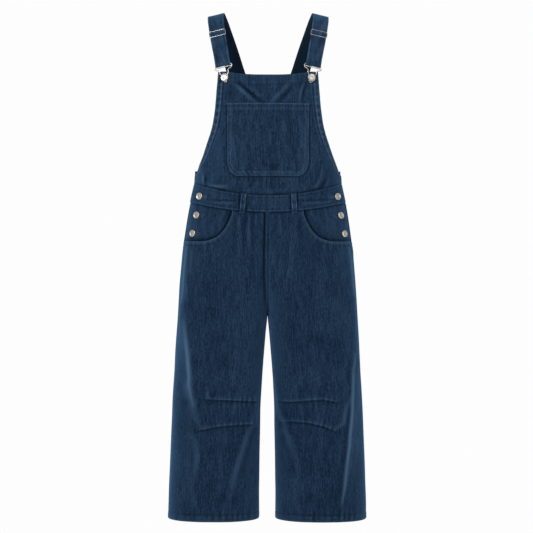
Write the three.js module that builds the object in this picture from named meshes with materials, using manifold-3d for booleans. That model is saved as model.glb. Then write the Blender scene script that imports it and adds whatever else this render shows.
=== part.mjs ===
// Bib overalls of fine-wale corduroy, filled out as they are worn, in millimetres.
// +X is the wearer's left, the front faces -Y and +Z is up. The origin lies midway between the
// shoulders, level with the underside of the two straps.
import * as THREE from "three";
import { mergeVertices } from "three/addons/utils/BufferGeometryUtils.js";
import Module from "manifold-3d";

const CLOTH = 1.6;             // one layer of corduroy with its pile
const BAND_CLOTH = 3;          // the waistband's doubled cloth
const BAND_LIFT = 0.8;         // the waistband's outer face above the panels it joins
const STRAP_CLOTH = 2;         // the straps' doubled cloth
const SEAM_GAP = 0.3;          // between two pieces at a seam
const SQUARE = 2.35;           // 2 is an ellipse, more is squarer: every level section of trunk and leg
const HEM_Z = -1308;
const CROTCH_Z = -772;
// Where each leg starts to part from the trunk, and how the parting swings out and eases in.
const RISE = { front: -600, back: -590, swing: 1.4, ease: 1.5 };

// One row for each level: half width at the side seams, half gap between the legs, depth of the
// front and of the back from the side seams' plane.
const LEVELS = [
  { z: -150, side: 176, gap: 0.15, front: 95, back: 104 },
  { z: -250, side: 183, gap: 0.15, front: 103, back: 111 },
  { z: -340, side: 187, gap: 0.15, front: 100, back: 106 },
  { z: -433, side: 189.5, gap: 0.15, front: 92, back: 91 },
  { z: -475, side: 198, gap: 0.15, front: 90, back: 90 },
  { z: -516, side: 206, gap: 0.15, front: 94, back: 99 },
  { z: -578, side: 215.5, gap: 0.15, front: 104, back: 116 },
  { z: -620, side: 221, gap: 0.15, front: 109, back: 124 },
  { z: -682, side: 226, gap: 0.15, front: 111, back: 126 },
  { z: -745, side: 230.5, gap: 0.15, front: 108, back: 119 },
  { z: -772, side: 232.2, gap: 0.2, front: 106, back: 114.5 },
  { z: -828, side: 235.5, gap: 5.3, front: 102, back: 106 },
  { z: -911, side: 240, gap: 12, front: 99, back: 101 },
  { z: -994, side: 245, gap: 17.3, front: 97, back: 98 },
  { z: -1078, side: 249, gap: 19, front: 95, back: 95 },
  { z: -1161, side: 252.5, gap: 20.5, front: 93, back: 93 },
  { z: -1244, side: 255.5, gap: 21.5, front: 91, back: 91 },
  { z: HEM_Z, side: 257, gap: 21.8, front: 90, back: 90 },
];

// The largest soft folds, seen from the front or from the back: the ends in x and z, the half width
// and the height, which is negative in a trough. They fade out towards the side seams and inseams.
const FOLD_FADE = 16;
const FOLDS = {
  front: [
    { x0: -209, z0: -600, x1: -205, z1: -760, wide: 13, high: 4 },
    { x0: -222, z0: -760, x1: -196, z1: -960, wide: 14, high: 5 },
    { x0: -199, z0: -960, x1: -182, z1: -1080, wide: 14, high: 6 },
    { x0: -186, z0: -1090, x1: -190, z1: -1250, wide: 15, high: 6 },
    { x0: -42, z0: -1010, x1: -98, z1: -1225, wide: 14, high: 6 },
    { x0: -22, z0: -980, x1: -40, z1: -1060, wide: 13, high: 5 },
    { x0: 222, z0: -740, x1: 226, z1: -900, wide: 13, high: 5 },
    { x0: 226, z0: -900, x1: 216, z1: -1110, wide: 14, high: 6 },
    { x0: 214, z0: -1120, x1: 190, z1: -1270, wide: 15, high: 6 },
    { x0: 20, z0: -960, x1: 76, z1: -1130, wide: 14, high: 5 },
    { x0: 214, z0: -600, x1: 212, z1: -740, wide: 13, high: 4 },
    { x0: -75, z0: -182, x1: -10, z1: -236, wide: 12, high: -5 },
    { x0: 50, z0: -190, x1: 20, z1: -226, wide: 13, high: 4 },
    { x0: 98, z0: -186, x1: 86, z1: -236, wide: 10, high: -4 },
    { x0: -166, z0: -400, x1: -160, z1: -436, wide: 9, high: 4 },
    { x0: -200, z0: -1004, x1: -50, z1: -1006, wide: 9, high: -4 },
    { x0: -170, z0: -1082, x1: -60, z1: -1068, wide: 9, high: -4 },
    { x0: 40, z0: -1008, x1: 175, z1: -1008, wide: 9, high: -4 },
    { x0: 40, z0: -1060, x1: 170, z1: -1082, wide: 9, high: -4 },
  ],
  back: [
    { x0: -60, z0: -760, x1: -190, z1: -850, wide: 16, high: -5 },
    { x0: 60, z0: -764, x1: 188, z1: -846, wide: 16, high: -5 },
    { x0: -170, z0: -880, x1: -150, z1: -1120, wide: 17, high: 6 },
    { x0: 176, z0: -870, x1: 158, z1: -1090, wide: 17, high: 6 },
    { x0: -70, z0: -960, x1: -96, z1: -1230, wide: 16, high: 5 },
    { x0: 66, z0: -940, x1: 90, z1: -1200, wide: 16, high: 5 },
    { x0: -212, z0: -620, x1: -200, z1: -800, wide: 15, high: 4 },
    { x0: 214, z0: -610, x1: 204, z1: -790, wide: 15, high: 4 },
  ],
};

// The bib's edge and the back panel's armhole: half width at each level. Each row is a grid row.
const BIB_EDGE = [
  { z: -166, half: 127.8 },
  { z: -186, half: 129.6 },
  { z: -212, half: 131.6 },
  { z: -240, half: 133.7 },
  { z: -268, half: 136.8 },
  { z: -296, half: 141.5 },
  { z: -320, half: 148.2 },
  { z: -342, half: 155.7 },
  { z: -362, half: 162.7 },
  { z: -382, half: 170.2 },
  { z: -400, half: 177.2 },
  { z: -415, half: 183.2 },
  { z: -430, half: 188.4 },
  { z: -444, half: 200 },
];
const ARMHOLE = [
  { z: -311, half: 43 },
  { z: -322, half: 46 },
  { z: -336, half: 53 },
  { z: -350, half: 65 },
  { z: -363, half: 82 },
  { z: -375, half: 103 },
  { z: -386, half: 127 },
  { z: -396, half: 151 },
  { z: -405, half: 172 },
  { z: -413, half: 186 },
  { z: -424, half: 200 },
  { z: -436, half: 200 },
];

const BIB_TOP = { centre: -170, dip: 9.5, at: 0.8 };            // the top edge dips between the buttons
const WAIST_TOP = { front: -475.7, back: -440, side: -443 };    // the waistband's edges
const WAIST_BOTTOM = { front: -518.8, back: -488, side: -492 };
const POCKET = { half: 104, top: -243, bottom: -427.4, corner: 42, cut: 28 };
const PATCH_LIFT = 2.9;        // the bib pocket's outer face above the bib's

// The hip pocket's scooped edge on the right, from the waist seam out to the side seam.
const SCOOP = [
  { x: -89.7, z: -512 },
  { x: -91, z: -522 },
  { x: -100, z: -545 },
  { x: -112.5, z: -566 },
  { x: -129, z: -582 },
  { x: -155, z: -592 },
  { x: -182, z: -593.5 },
  { x: -207, z: -592.5 },
];
const SCOOP_CUT = { outside: 300, above: -440, deep: 240, behind: 5, steps: 3 };  // the prism's reach
const FACING = { inner: 78, bottom: -622, depth: 2.7, cloth: 1.4 };

const SIDE_BUTTON = { cap: 9, shank: 2.2, tall: 3.8, turn: 0.18 };
const BIB_BUTTON = { cap: 10, shank: 2.8, tall: 6.4, turn: 0 };
const SIDE_BUTTONS = [
  { z: -477.8, right: 174, left: 177.4, lift: 1.1 },
  { z: -525.6, right: 183.5, left: 188, lift: -2.3 },
  { z: -572.8, right: 193.5, left: 197.5, lift: -2.3 },
];
const BIB_BUTTON_AT = { x: 109, z: -176.9 };
// Every button's cap: its rim's height and roll, its rounded crown, its dish and the dish's middle.
const CAP = {
  rim: 1.9, roll: 0.9, crown: 0.6, flat: 2, low: 0.1, dish: 3.2, deep: 0.8, middle: 0.5, sides: 12,
};

// The belt loops: middle of the top and bottom ends. The back ones are plain.
const BELT_LOOPS = [
  { name: "belt_loop_front_right", half: "front", side: -1, top: 60, bottom: 66 },
  { name: "belt_loop_front_left", half: "front", side: 1, top: 65, bottom: 68 },
  { name: "belt_loop_back_right", half: "back", side: -1, top: 118, bottom: 120 },
  { name: "belt_loop_back_centre", half: "back", side: -1, top: 0, bottom: 0 },
  { name: "belt_loop_back_left", half: "back", side: 1, top: 118, bottom: 120 },
];
const LOOP = { wide: 13, cloth: 1.8, seat: 1.2, stand: 4.6, over: 2.5 };

// A strap's middle line from the back panel over the shoulder, for the side x > 0: the slopes say how
// its width lies, going back and up per unit towards the centre.
const STRAP_PATH = [
  { x: 21.6, y: 106, z: -310.7, back: 0, up: 0, wide: 42.4 },
  { x: 30.3, y: 107.6, z: -288, back: 0.03, up: 0.2, wide: 43 },
  { x: 47.5, y: 108.4, z: -246, back: 0.08, up: 0.36, wide: 45 },
  { x: 66.5, y: 106.2, z: -197, back: 0.1, up: 0.37, wide: 47 },
  { x: 85.2, y: 98, z: -143, back: 0.1, up: 0.36, wide: 47.5 },
  { x: 101.6, y: 82, z: -91, back: 0.08, up: 0.34, wide: 46 },
  { x: 116.5, y: 58, z: -48, back: 0.05, up: 0.3, wide: 44.5 },
  { x: 127, y: 30, z: -19, back: 0.02, up: 0.27, wide: 43 },
  { x: 135, y: 0, z: -4.2, back: 0, up: 0.25, wide: 42.5 },
  { x: 136, y: -25, z: -17, back: -0.04, up: 0.24, wide: 41.5 },
  { x: 133, y: -46, z: -41, back: -0.1, up: 0.22, wide: 41 },
  { x: 128, y: -62, z: -74, back: -0.18, up: 0.21, wide: 40.5 },
  { x: 122.3, y: -73, z: -105, back: -0.25, up: 0.2, wide: 40 },
];
// Widths in front and of the end turned back, the straight lead into the buckle, the stations' step
// and their clearance from the slider, and how the end turned back settles behind the strap.
const STRAP = { wide: 40, turnedWide: 39.4, lead: 18, step: 10.5, clear: 12, turnedGap: 0.45, settle: 14 };

// A buckle: one bent wire with a crossbar. Half of its outline, out from the middle of the bar that
// the strap folds round, and down.
const BUCKLE_WIRE = 1.1;
const BUCKLE_OUTLINE = [
  { out: 12, down: 0 },
  { out: 20.2, down: 0.2 },
  { out: 22.4, down: 2.4 },
  { out: 23.1, down: 6.2 },
  { out: 21.9, down: 9.3 },
  { out: 18, down: 11.6 },
  { out: 13.4, down: 13.2 },
  { out: 11.2, down: 15.8 },
  { out: 11.6, down: 19.6 },
  { out: 10.2, down: 23.6 },
  { out: 7.6, down: 27.6 },
  { out: 5.4, down: 32 },
  { out: 4.8, down: 37 },
  { out: 4.6, down: 41.2 },
  { out: 3.1, down: 44.8 },
];
const BUCKLE = {
  crossbar: 6.2, crossHalf: 22.8, crossRadius: 1, button: 33.9, tip: 46, lean: 0.03, above: 2.9,
  tilt: 0.22, endGap: 0.2, steps: 54, sides: 7,
};
const FOLD_RADIUS = BUCKLE_WIRE + 0.5 + STRAP_CLOTH / 2;   // the strap's middle round the bar

const SLIDER = {
  half: 22, inner: 20.8, reach: 8.7, bar: 1.8, thick: 1.6, corner: 2, windowCorner: 0.8,
  fromBuckle: 88, lift: 2.1, steps: 3,
};
// The strap's weave through the slider: under the outer bars and over the middle one.
const WEAVE = [
  { along: -9.6, rise: -2.1 },
  { along: -6.2, rise: -2.1 },
  { along: -1.9, rise: 2.1 },
  { along: 1.9, rise: 2.1 },
  { along: 6.2, rise: -2.1 },
  { along: 9.6, rise: -2.1 },
];
// The strap's sewn end comes back up behind it and stops under the slider's middle bar.
const TURNED_END = [
  { along: 9.6, rise: -4.6 },
  { along: 5, rise: -4.3 },
  { along: 1.5, rise: -2.3 },
  { along: -1.2, rise: -2.2 },
];

const CORDUROY = { color: 0x1d2f43, roughness: 0.95, metalness: 0 };
const CORDUROY_BIB = { color: 0x1f3348, roughness: 0.95, metalness: 0 };
const NICKEL = { color: 0xc9c6bf, roughness: 0.3, metalness: 1 };
const BUTTON_METAL = { color: 0xd2cdc3, roughness: 0.35, metalness: 1 };

const wasm = await Module();
wasm.setup();

const overalls = new THREE.Group();

function addPiece(name, geometry, finish) {
  const mesh = new THREE.Mesh(geometry, new THREE.MeshStandardMaterial(finish));
  mesh.name = name;
  overalls.add(mesh);
  return mesh;
}

// Reads one column of a table at z, as a smooth curve through its rows (z falls from row to row).
function columnAt(table, z, column) {
  const last = table.length - 1;
  let i = table.findIndex((row) => row.z < z) - 1;
  if (i < -1) i = last - 1;
  i = Math.min(Math.max(i, 0), last - 1);
  const slope = (k) => {
    const a = Math.max(k - 1, 0);
    const b = Math.min(k + 1, last);
    return (table[b][column] - table[a][column]) / (table[b].z - table[a].z);
  };
  const p = table[i];
  const q = table[i + 1];
  const step = q.z - p.z;
  const t = Math.min(Math.max((z - p.z) / step, 0), 1);
  const t2 = t * t;
  const t3 = t2 * t;
  return (2 * t3 - 3 * t2 + 1) * p[column] + (t3 - 2 * t2 + t) * step * slope(i)
    + (3 * t2 - 2 * t3) * q[column] + (t3 - t2) * step * slope(i + 1);
}

const signedPower = (value, power) => Math.sign(value) * Math.abs(value) ** power;

// How far a leg has parted from the trunk at z: 0 at the hips, 1 from the crotch down.
function parting(z, half) {
  const start = RISE[half];
  if (z >= start) return 0;
  if (z <= CROTCH_Z) return 1;
  const height = (z - CROTCH_Z) / (start - CROTCH_Z);
  return (1 - height ** RISE.swing) ** RISE.ease;
}

// The bare form: turn runs from 0 at the side seam to 1 at the centre seam or inseam. Each level is
// part of a squared ellipse. Its middle moves out from the centre plane as the leg parts, and it is
// cut at that plane, so the centre seam swings in towards the crotch.
function formPoint(side, half, turn, z) {
  const width = columnAt(LEVELS, z, "side");
  const gap = Math.max(columnAt(LEVELS, z, "gap"), SEAM_GAP / 2);
  const part = parting(z, half);
  const angle = turn * (Math.PI / 2 + Math.asin(part ** (SQUARE / 2)));
  const middle = (gap + part * width) / (1 + part);
  const x = middle + (width - middle) * signedPower(Math.cos(angle), 2 / SQUARE);
  const y = SEAM_GAP / 2 + columnAt(LEVELS, z, half) * signedPower(Math.sin(angle), 2 / SQUARE);
  return new THREE.Vector3(side * x, half === "front" ? -y : y, z);
}

// The form's outward normal, from its points close by.
function formNormal(side, half, turn, z) {
  const nearTurn = 0.002;
  const nearZ = 0.5;
  const step = (dTurn, dZ) => formPoint(side, half, turn + dTurn, z + dZ)
    .sub(formPoint(side, half, turn - dTurn, z - dZ));
  const normal = step(nearTurn, 0).cross(step(0, nearZ)).normalize();
  return side * (half === "front" ? 1 : -1) > 0 ? normal.negate() : normal;
}

// What is left of the folds near a side seam, and near an inseam where the legs have parted.
function foldShare(half, x, z) {
  const toSide = columnAt(LEVELS, z, "side") - Math.abs(x);
  const toInseam = Math.abs(x) - columnAt(LEVELS, z, "gap");
  const lost = parting(z, half) * (1 - THREE.MathUtils.smoothstep(toInseam, 0, FOLD_FADE));
  return THREE.MathUtils.smoothstep(toSide, 0, FOLD_FADE) * (1 - lost);
}

// Sum of the soft folds at a point: each is a bell across its line, fading past its ends.
function foldHeight(half, x, z) {
  let height = 0;
  for (const f of FOLDS[half]) {
    const dx = f.x1 - f.x0;
    const dz = f.z1 - f.z0;
    const along = THREE.MathUtils.clamp(((x - f.x0) * dx + (z - f.z0) * dz) / (dx * dx + dz * dz), 0, 1);
    const away = Math.hypot(x - f.x0 - along * dx, z - f.z0 - along * dz);
    height += f.high * Math.exp(-((away / f.wide) ** 2));
  }
  return height * foldShare(half, x, z);
}

// A point of the cloth's outer face, moved out by lift.
function clothPoint(side, half, turn, z, lift) {
  const point = formPoint(side, half, turn, z);
  const out = foldHeight(half, point.x, z) + lift;
  return point.addScaledVector(formNormal(side, half, turn, z), out);
}

// The turn at which the trunk's section is x away from the centre.
function turnAt(x, z) {
  const share = Math.min(Math.abs(x) / columnAt(LEVELS, z, "side"), 1);
  return Math.acos(share ** (SQUARE / 2)) / (Math.PI / 2);
}

// How far out a turn lies on the trunk, as a share of its half width: 0 at the centre, 1 at the side.
const shareAt = (turn) => Math.cos(Math.min(turn, 1) * Math.PI / 2) ** (2 / SQUARE);

// The waistband's edge at a turn: lowest in the middle of the front.
function waistEdge(edge, half, turn) {
  return edge[half] + (edge.side - edge[half]) * shareAt(turn) ** 2;
}

// A closed wall: point(u, v, depth) gives its outer face at depth 0 and its inner face at depth cloth.
function wall(point, us, vs, cloth) {
  const positions = [];
  const indices = [];
  for (const depth of [0, cloth]) {
    for (const v of vs) {
      for (const u of us) positions.push(...point(u, v, depth).toArray());
    }
  }
  const columns = us.length;
  const rows = vs.length;
  const at = (layer, row, column) => (layer * rows + row) * columns + column;
  const quad = (a, b, c, d) => indices.push(a, b, c, a, c, d);
  for (let r = 0; r < rows - 1; r += 1) {
    for (let c = 0; c < columns - 1; c += 1) {
      quad(at(0, r, c), at(0, r, c + 1), at(0, r + 1, c + 1), at(0, r + 1, c));
      quad(at(1, r, c), at(1, r + 1, c), at(1, r + 1, c + 1), at(1, r, c + 1));
    }
  }
  for (let c = 0; c < columns - 1; c += 1) {
    quad(at(0, 0, c), at(1, 0, c), at(1, 0, c + 1), at(0, 0, c + 1));
    quad(at(0, rows - 1, c), at(0, rows - 1, c + 1), at(1, rows - 1, c + 1), at(1, rows - 1, c));
  }
  const end = columns - 1;
  for (let r = 0; r < rows - 1; r += 1) {
    quad(at(0, r, 0), at(0, r + 1, 0), at(1, r + 1, 0), at(1, r, 0));
    quad(at(0, r, end), at(1, r, end), at(1, r + 1, end), at(0, r + 1, end));
  }
  return facingOut(positions, indices);
}

// A geometry whose triangles are turned round where they enclose a negative volume.
function facingOut(positions, indices) {
  const corner = (i) => new THREE.Vector3().fromArray(positions, indices[i] * 3);
  let volume = 0;
  for (let i = 0; i < indices.length; i += 3) {
    volume += corner(i).dot(corner(i + 1).cross(corner(i + 2)));
  }
  if (volume < 0) indices.reverse();
  const geometry = new THREE.BufferGeometry();
  geometry.setAttribute("position", new THREE.Float32BufferAttribute(positions, 3));
  geometry.setIndex(indices);
  geometry.computeVertexNormals();
  return geometry;
}

function evenly(from, to, steps) {
  return Array.from({ length: steps + 1 }, (_, i) => from + (to - from) * i / steps);
}

function toSolid(geometry) {
  const samePoint = 1e-4;
  const bare = geometry.clone();
  Object.keys(bare.attributes).filter((name) => name !== "position")
    .forEach((name) => bare.deleteAttribute(name));
  const merged = mergeVertices(bare, samePoint);
  return new wasm.Manifold(new wasm.Mesh({
    numProp: 3,
    vertProperties: new Float32Array(merged.attributes.position.array),
    triVerts: new Uint32Array(merged.index.array),
  }));
}

function toGeometry(solid) {
  const mesh = solid.getMesh();
  const geometry = new THREE.BufferGeometry();
  geometry.setAttribute("position", new THREE.BufferAttribute(mesh.vertProperties, 3));
  geometry.setIndex(new THREE.BufferAttribute(mesh.triVerts, 1));
  geometry.computeVertexNormals();
  return geometry;
}

// A level row of a panel below a slanting top edge: it eases back to level at easeZ.
function easedRow(row, rowTop, top, easeZ) {
  if (row <= easeZ) return row;
  return top + (row - rowTop) * (easeZ - top) / (easeZ - rowTop);
}

// The rows of the leg panels, closer together round the crotch and at the knee tucks.
const LEG_ROWS = [
  -516, -548, -580, -612, -648, -680, -706, -730, -749, -762, -769.5, CROTCH_Z, -784, -806, -840,
  -880, -922, -962, -992, -1006, -1020, -1046, -1062, -1076, -1092, -1130, -1185, -1245, HEM_Z,
];
const LEG_EASE_Z = -680;
const LEG_TURNS = evenly(0, 1, 12);

function legPanel(side, half) {
  const point = (turn, row, depth) => {
    const top = waistEdge(WAIST_BOTTOM, half, turn) - SEAM_GAP / 2;
    const z = easedRow(row, LEG_ROWS[0], top, LEG_EASE_Z);
    return clothPoint(side, half, turn, z, -depth);
  };
  return wall(point, LEG_TURNS, LEG_ROWS, CLOTH);
}

// The prism that takes the scooped pocket mouth out of a front leg.
function scoopCutter(side) {
  const edge = SCOOP.map((p) => new THREE.Vector2(-side * p.x, p.z));
  const shape = new THREE.Shape();
  const first = edge[0];
  const last = edge[edge.length - 1];
  const outside = side * SCOOP_CUT.outside;
  shape.moveTo(first.x, SCOOP_CUT.above);
  shape.lineTo(first.x, first.y);
  shape.splineThru(edge.slice(1));
  shape.lineTo(outside, last.y);
  shape.lineTo(outside, SCOOP_CUT.above);
  shape.closePath();
  const geometry = new THREE.ExtrudeGeometry(shape, {
    depth: SCOOP_CUT.deep,
    bevelEnabled: false,
    curveSegments: SCOOP_CUT.steps,
  });
  geometry.rotateX(Math.PI / 2);
  geometry.translate(0, SCOOP_CUT.behind, 0);
  return geometry;
}

function addLegs(side, word) {
  const front = toSolid(legPanel(side, "front")).subtract(toSolid(scoopCutter(side)));
  addPiece("front_leg_" + word, toGeometry(front), CORDUROY);
  addPiece("back_leg_" + word, legPanel(side, "back"), CORDUROY);
}

// The cloth seen inside the pocket's mouth, a little deeper than the leg.
function addFacing(side, word) {
  const innerTurn = turnAt(FACING.inner, WAIST_BOTTOM.front);
  const point = (turn, v, depth) => {
    const top = waistEdge(WAIST_BOTTOM, "front", turn) - SEAM_GAP / 2;
    const z = THREE.MathUtils.lerp(top, FACING.bottom, v);
    return clothPoint(side, "front", turn, z, -FACING.depth - depth);
  };
  const turns = LEG_TURNS.filter((turn) => turn < innerTurn).concat(innerTurn);
  addPiece("pocket_facing_" + word, wall(point, turns, evenly(0, 1, 5), FACING.cloth), CORDUROY);
}

// A panel that crosses the middle: q runs from -1 at one edge to 1 at the other.
function crossPoint(half, q, edgeTurn, z, lift) {
  const turn = 1 - Math.abs(q) * (1 - edgeTurn);
  return clothPoint(q < 0 ? -1 : 1, half, turn, z, lift);
}

function addWaistband(half, steps) {
  const point = (q, v, depth) => {
    const turn = 1 - Math.abs(q);
    const top = waistEdge(WAIST_TOP, half, turn) - SEAM_GAP / 2;
    const bottom = waistEdge(WAIST_BOTTOM, half, turn) + SEAM_GAP / 2;
    return crossPoint(half, q, 0, THREE.MathUtils.lerp(top, bottom, v), BAND_LIFT - depth);
  };
  const geometry = wall(point, evenly(-1, 1, steps), [0, 0.5, 1], BAND_CLOTH);
  addPiece("waistband_" + half, geometry, CORDUROY_BIB);
}

// A panel above the waistband, cut to an edge table. Its last rows ease into the waistband's top edge
// and its top row gets topAt(q).
function upperPanel(half, table, steps, topAt) {
  const rows = table.map((row) => row.z);
  const lastRow = rows[rows.length - 1];
  const easeFrom = rows[rows.length - 4];
  const point = (q, row, depth) => {
    const edgeTurn = turnAt(columnAt(table, row, "half"), row);
    const turn = 1 - Math.abs(q) * (1 - edgeTurn);
    const bottom = waistEdge(WAIST_TOP, half, turn) + SEAM_GAP / 2;
    const eased = easeFrom + (row - easeFrom) * (bottom - easeFrom) / (lastRow - easeFrom);
    const below = row < easeFrom ? eased : row;
    const z = row === rows[0] ? topAt(q) : below;
    return crossPoint(half, q, edgeTurn, z, -depth);
  };
  return wall(point, evenly(-1, 1, steps), rows, CLOTH);
}

function addBib() {
  const topAt = (q) => BIB_TOP.centre + BIB_TOP.dip * Math.min(Math.abs(q) / BIB_TOP.at, 1) ** 2;
  addPiece("bib", upperPanel("front", BIB_EDGE, 16, topAt), CORDUROY_BIB);
}

function addBackPanel() {
  addPiece("back_panel", upperPanel("back", ARMHOLE, 14, () => ARMHOLE[0].z), CORDUROY_BIB);
}

// The patch pocket on the bib, with its lower corners cut round.
function addBibPocket() {
  const corner = POCKET.bottom + POCKET.corner;
  const halfAt = (z) => {
    if (z > corner) return POCKET.half;
    const share = (corner - z) / POCKET.corner;
    return POCKET.half - POCKET.cut * (1 - Math.sqrt(Math.max(1 - share * share, 0)));
  };
  const point = (q, z, depth) => {
    const x = q * halfAt(z);
    return clothPoint(q < 0 ? -1 : 1, "front", turnAt(x, z), z, PATCH_LIFT - depth);
  };
  const rows = evenly(POCKET.top, corner, 5).concat([-400, -411, -419, -424.5, POCKET.bottom]);
  addPiece("bib_pocket", wall(point, evenly(-1, 1, 12), rows, CLOTH), CORDUROY_BIB);
}

// A belt loop: a strip sewn down at both ends that stands off the waistband between them.
function addBeltLoop({ name, half, side, top, bottom }) {
  const point = (u, v, depth) => {
    const middle = THREE.MathUtils.lerp(top, bottom, v);
    const turnHere = turnAt(middle, WAIST_TOP.side);
    const zTop = waistEdge(WAIST_TOP, half, turnHere) - LOOP.over;
    const zBottom = waistEdge(WAIST_BOTTOM, half, turnHere) - LOOP.over * 2;
    const z = THREE.MathUtils.lerp(zTop, zBottom, v);
    const x = side * middle + u * LOOP.wide / 2;
    const stand = LOOP.seat + (LOOP.stand - LOOP.seat) * Math.sin(Math.PI * v) ** 0.6;
    return clothPoint(x < 0 ? -1 : 1, half, turnAt(x, z), z, stand + LOOP.cloth - depth);
  };
  const rows = [0, 0.08, 0.2, 0.5, 0.8, 0.92, 1];
  addPiece(name, wall(point, [-1, 0, 1], rows, LOOP.cloth), CORDUROY_BIB);
}

// A dished metal button on its shank, turned about its axis: radius and height along the axis.
function buttonGeometry({ cap, shank, tall }) {
  const { rim, roll, crown, flat, low, dish, deep, middle, sides } = CAP;
  const profile = [
    [0, 0], [shank, 0], [shank, tall - rim], [cap - roll, tall - rim], [cap, tall - roll],
    [cap - crown, tall], [cap - flat, tall - low], [cap - dish, tall - deep], [0, tall - middle],
  ];
  return new THREE.LatheGeometry(profile.map(([r, h]) => new THREE.Vector2(r, h)), sides);
}

// Seats a button on the cloth. Its axis may be turned from the cloth's normal towards the front.
function addButton(name, size, side, x, z, lift) {
  const turn = turnAt(x, z);
  const normal = formNormal(side, "front", turn, z);
  const axis = normal.clone().lerp(new THREE.Vector3(0, -1, 0), size.turn).normalize();
  const mesh = addPiece(name, buttonGeometry(size), BUTTON_METAL);
  mesh.position.copy(clothPoint(side, "front", turn, z, lift));
  mesh.quaternion.setFromUnitVectors(new THREE.Vector3(0, 1, 0), axis);
}

function addSideButtons(side, word) {
  SIDE_BUTTONS.forEach((row, i) => {
    addButton(`side_button_${word}_${i + 1}`, SIDE_BUTTON, side, row[word], row.z, row.lift + SEAM_GAP);
  });
}

// The buckle's own axes: out is its plane's normal, down runs from the strap to the button, in runs
// towards the centre, and bar is the middle of the bar that the strap folds round.
function buckleFrame(side) {
  const { x, z } = BIB_BUTTON_AT;
  const turn = turnAt(x, z);
  const out = formNormal(side, "front", turn, z);
  out.z += BUCKLE.lean;
  out.normalize();
  const down = new THREE.Vector3(-side * BUCKLE.tilt, 0, -1);
  down.addScaledVector(out, -down.dot(out)).normalize();
  const inwards = new THREE.Vector3().crossVectors(down, out).multiplyScalar(side).normalize();
  if (inwards.x * side > 0) inwards.negate();
  const bar = clothPoint(side, "front", turn, z, 0);
  bar.addScaledVector(out, BUCKLE.above).addScaledVector(down, -BUCKLE.button);
  return { out, down, inwards, bar };
}

// A round wire of the given radius along a curve.
function wireAlong(curve, radius, steps) {
  const section = new THREE.Shape(evenly(0, 2 * Math.PI, BUCKLE.sides).slice(0, BUCKLE.sides).map(
    (angle) => new THREE.Vector2(radius * Math.cos(angle), radius * Math.sin(angle)),
  ));
  return new THREE.ExtrudeGeometry(section, { steps, extrudePath: curve, bevelEnabled: false });
}

function addBuckle(side, word, frame) {
  const place = (across, down) => frame.bar.clone()
    .addScaledVector(frame.inwards, across).addScaledVector(frame.down, down);
  const { crossbar, crossHalf, crossRadius, tip, endGap, steps } = BUCKLE;
  const half = BUCKLE_OUTLINE.map(({ out, down }) => [out, down]);
  const loop = [[endGap, 0], ...half, [0, tip]];
  const back = half.slice().reverse().map(([across, down]) => [-across, down]);
  const points = [...loop, ...back, [-endGap, 0]].map(([across, down]) => place(across, down));
  const curve = new THREE.CatmullRomCurve3(points, false, "centripetal");
  const wire = toSolid(wireAlong(curve, BUCKLE_WIRE, steps));
  const line = new THREE.LineCurve3(place(-crossHalf, crossbar), place(crossHalf, crossbar));
  const bar = toSolid(wireAlong(line, crossRadius, 1));
  addPiece("buckle_" + word, toGeometry(wire.add(bar)), NICKEL);
}

// The strap's middle line as a curve, read at a distance s along it: middle point, direction across
// it, width and direction along it.
function strapLine(side, frame) {
  const points = STRAP_PATH.map(({ x, y, z }) => new THREE.Vector3(side * x, y, z));
  const acrosses = STRAP_PATH.map(({ back, up }) => new THREE.Vector3(-side, back, up).normalize());
  const end = frame.bar.clone().addScaledVector(frame.out, FOLD_RADIUS);
  points.push(end.clone().addScaledVector(frame.down, -STRAP.lead), end);
  acrosses.push(frame.inwards.clone(), frame.inwards.clone());
  const curve = new THREE.CatmullRomCurve3(points, false, "centripetal");
  const acrossCurve = new THREE.CatmullRomCurve3(acrosses, false, "centripetal");
  const wides = STRAP_PATH.map((row) => row.wide).concat([STRAP.wide, STRAP.wide]);
  const length = curve.getLength();
  const stationAt = (s) => {
    const t = curve.getUtoTmapping(s / length);
    const i = Math.min(Math.floor(t * (wides.length - 1)), wides.length - 2);
    return {
      p: curve.getPointAt(s / length),
      across: acrossCurve.getPoint(t).normalize(),
      wide: THREE.MathUtils.lerp(wides[i], wides[i + 1], t * (wides.length - 1) - i),
      along: curve.getTangentAt(s / length),
    };
  };
  return { length, stationAt };
}

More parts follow.
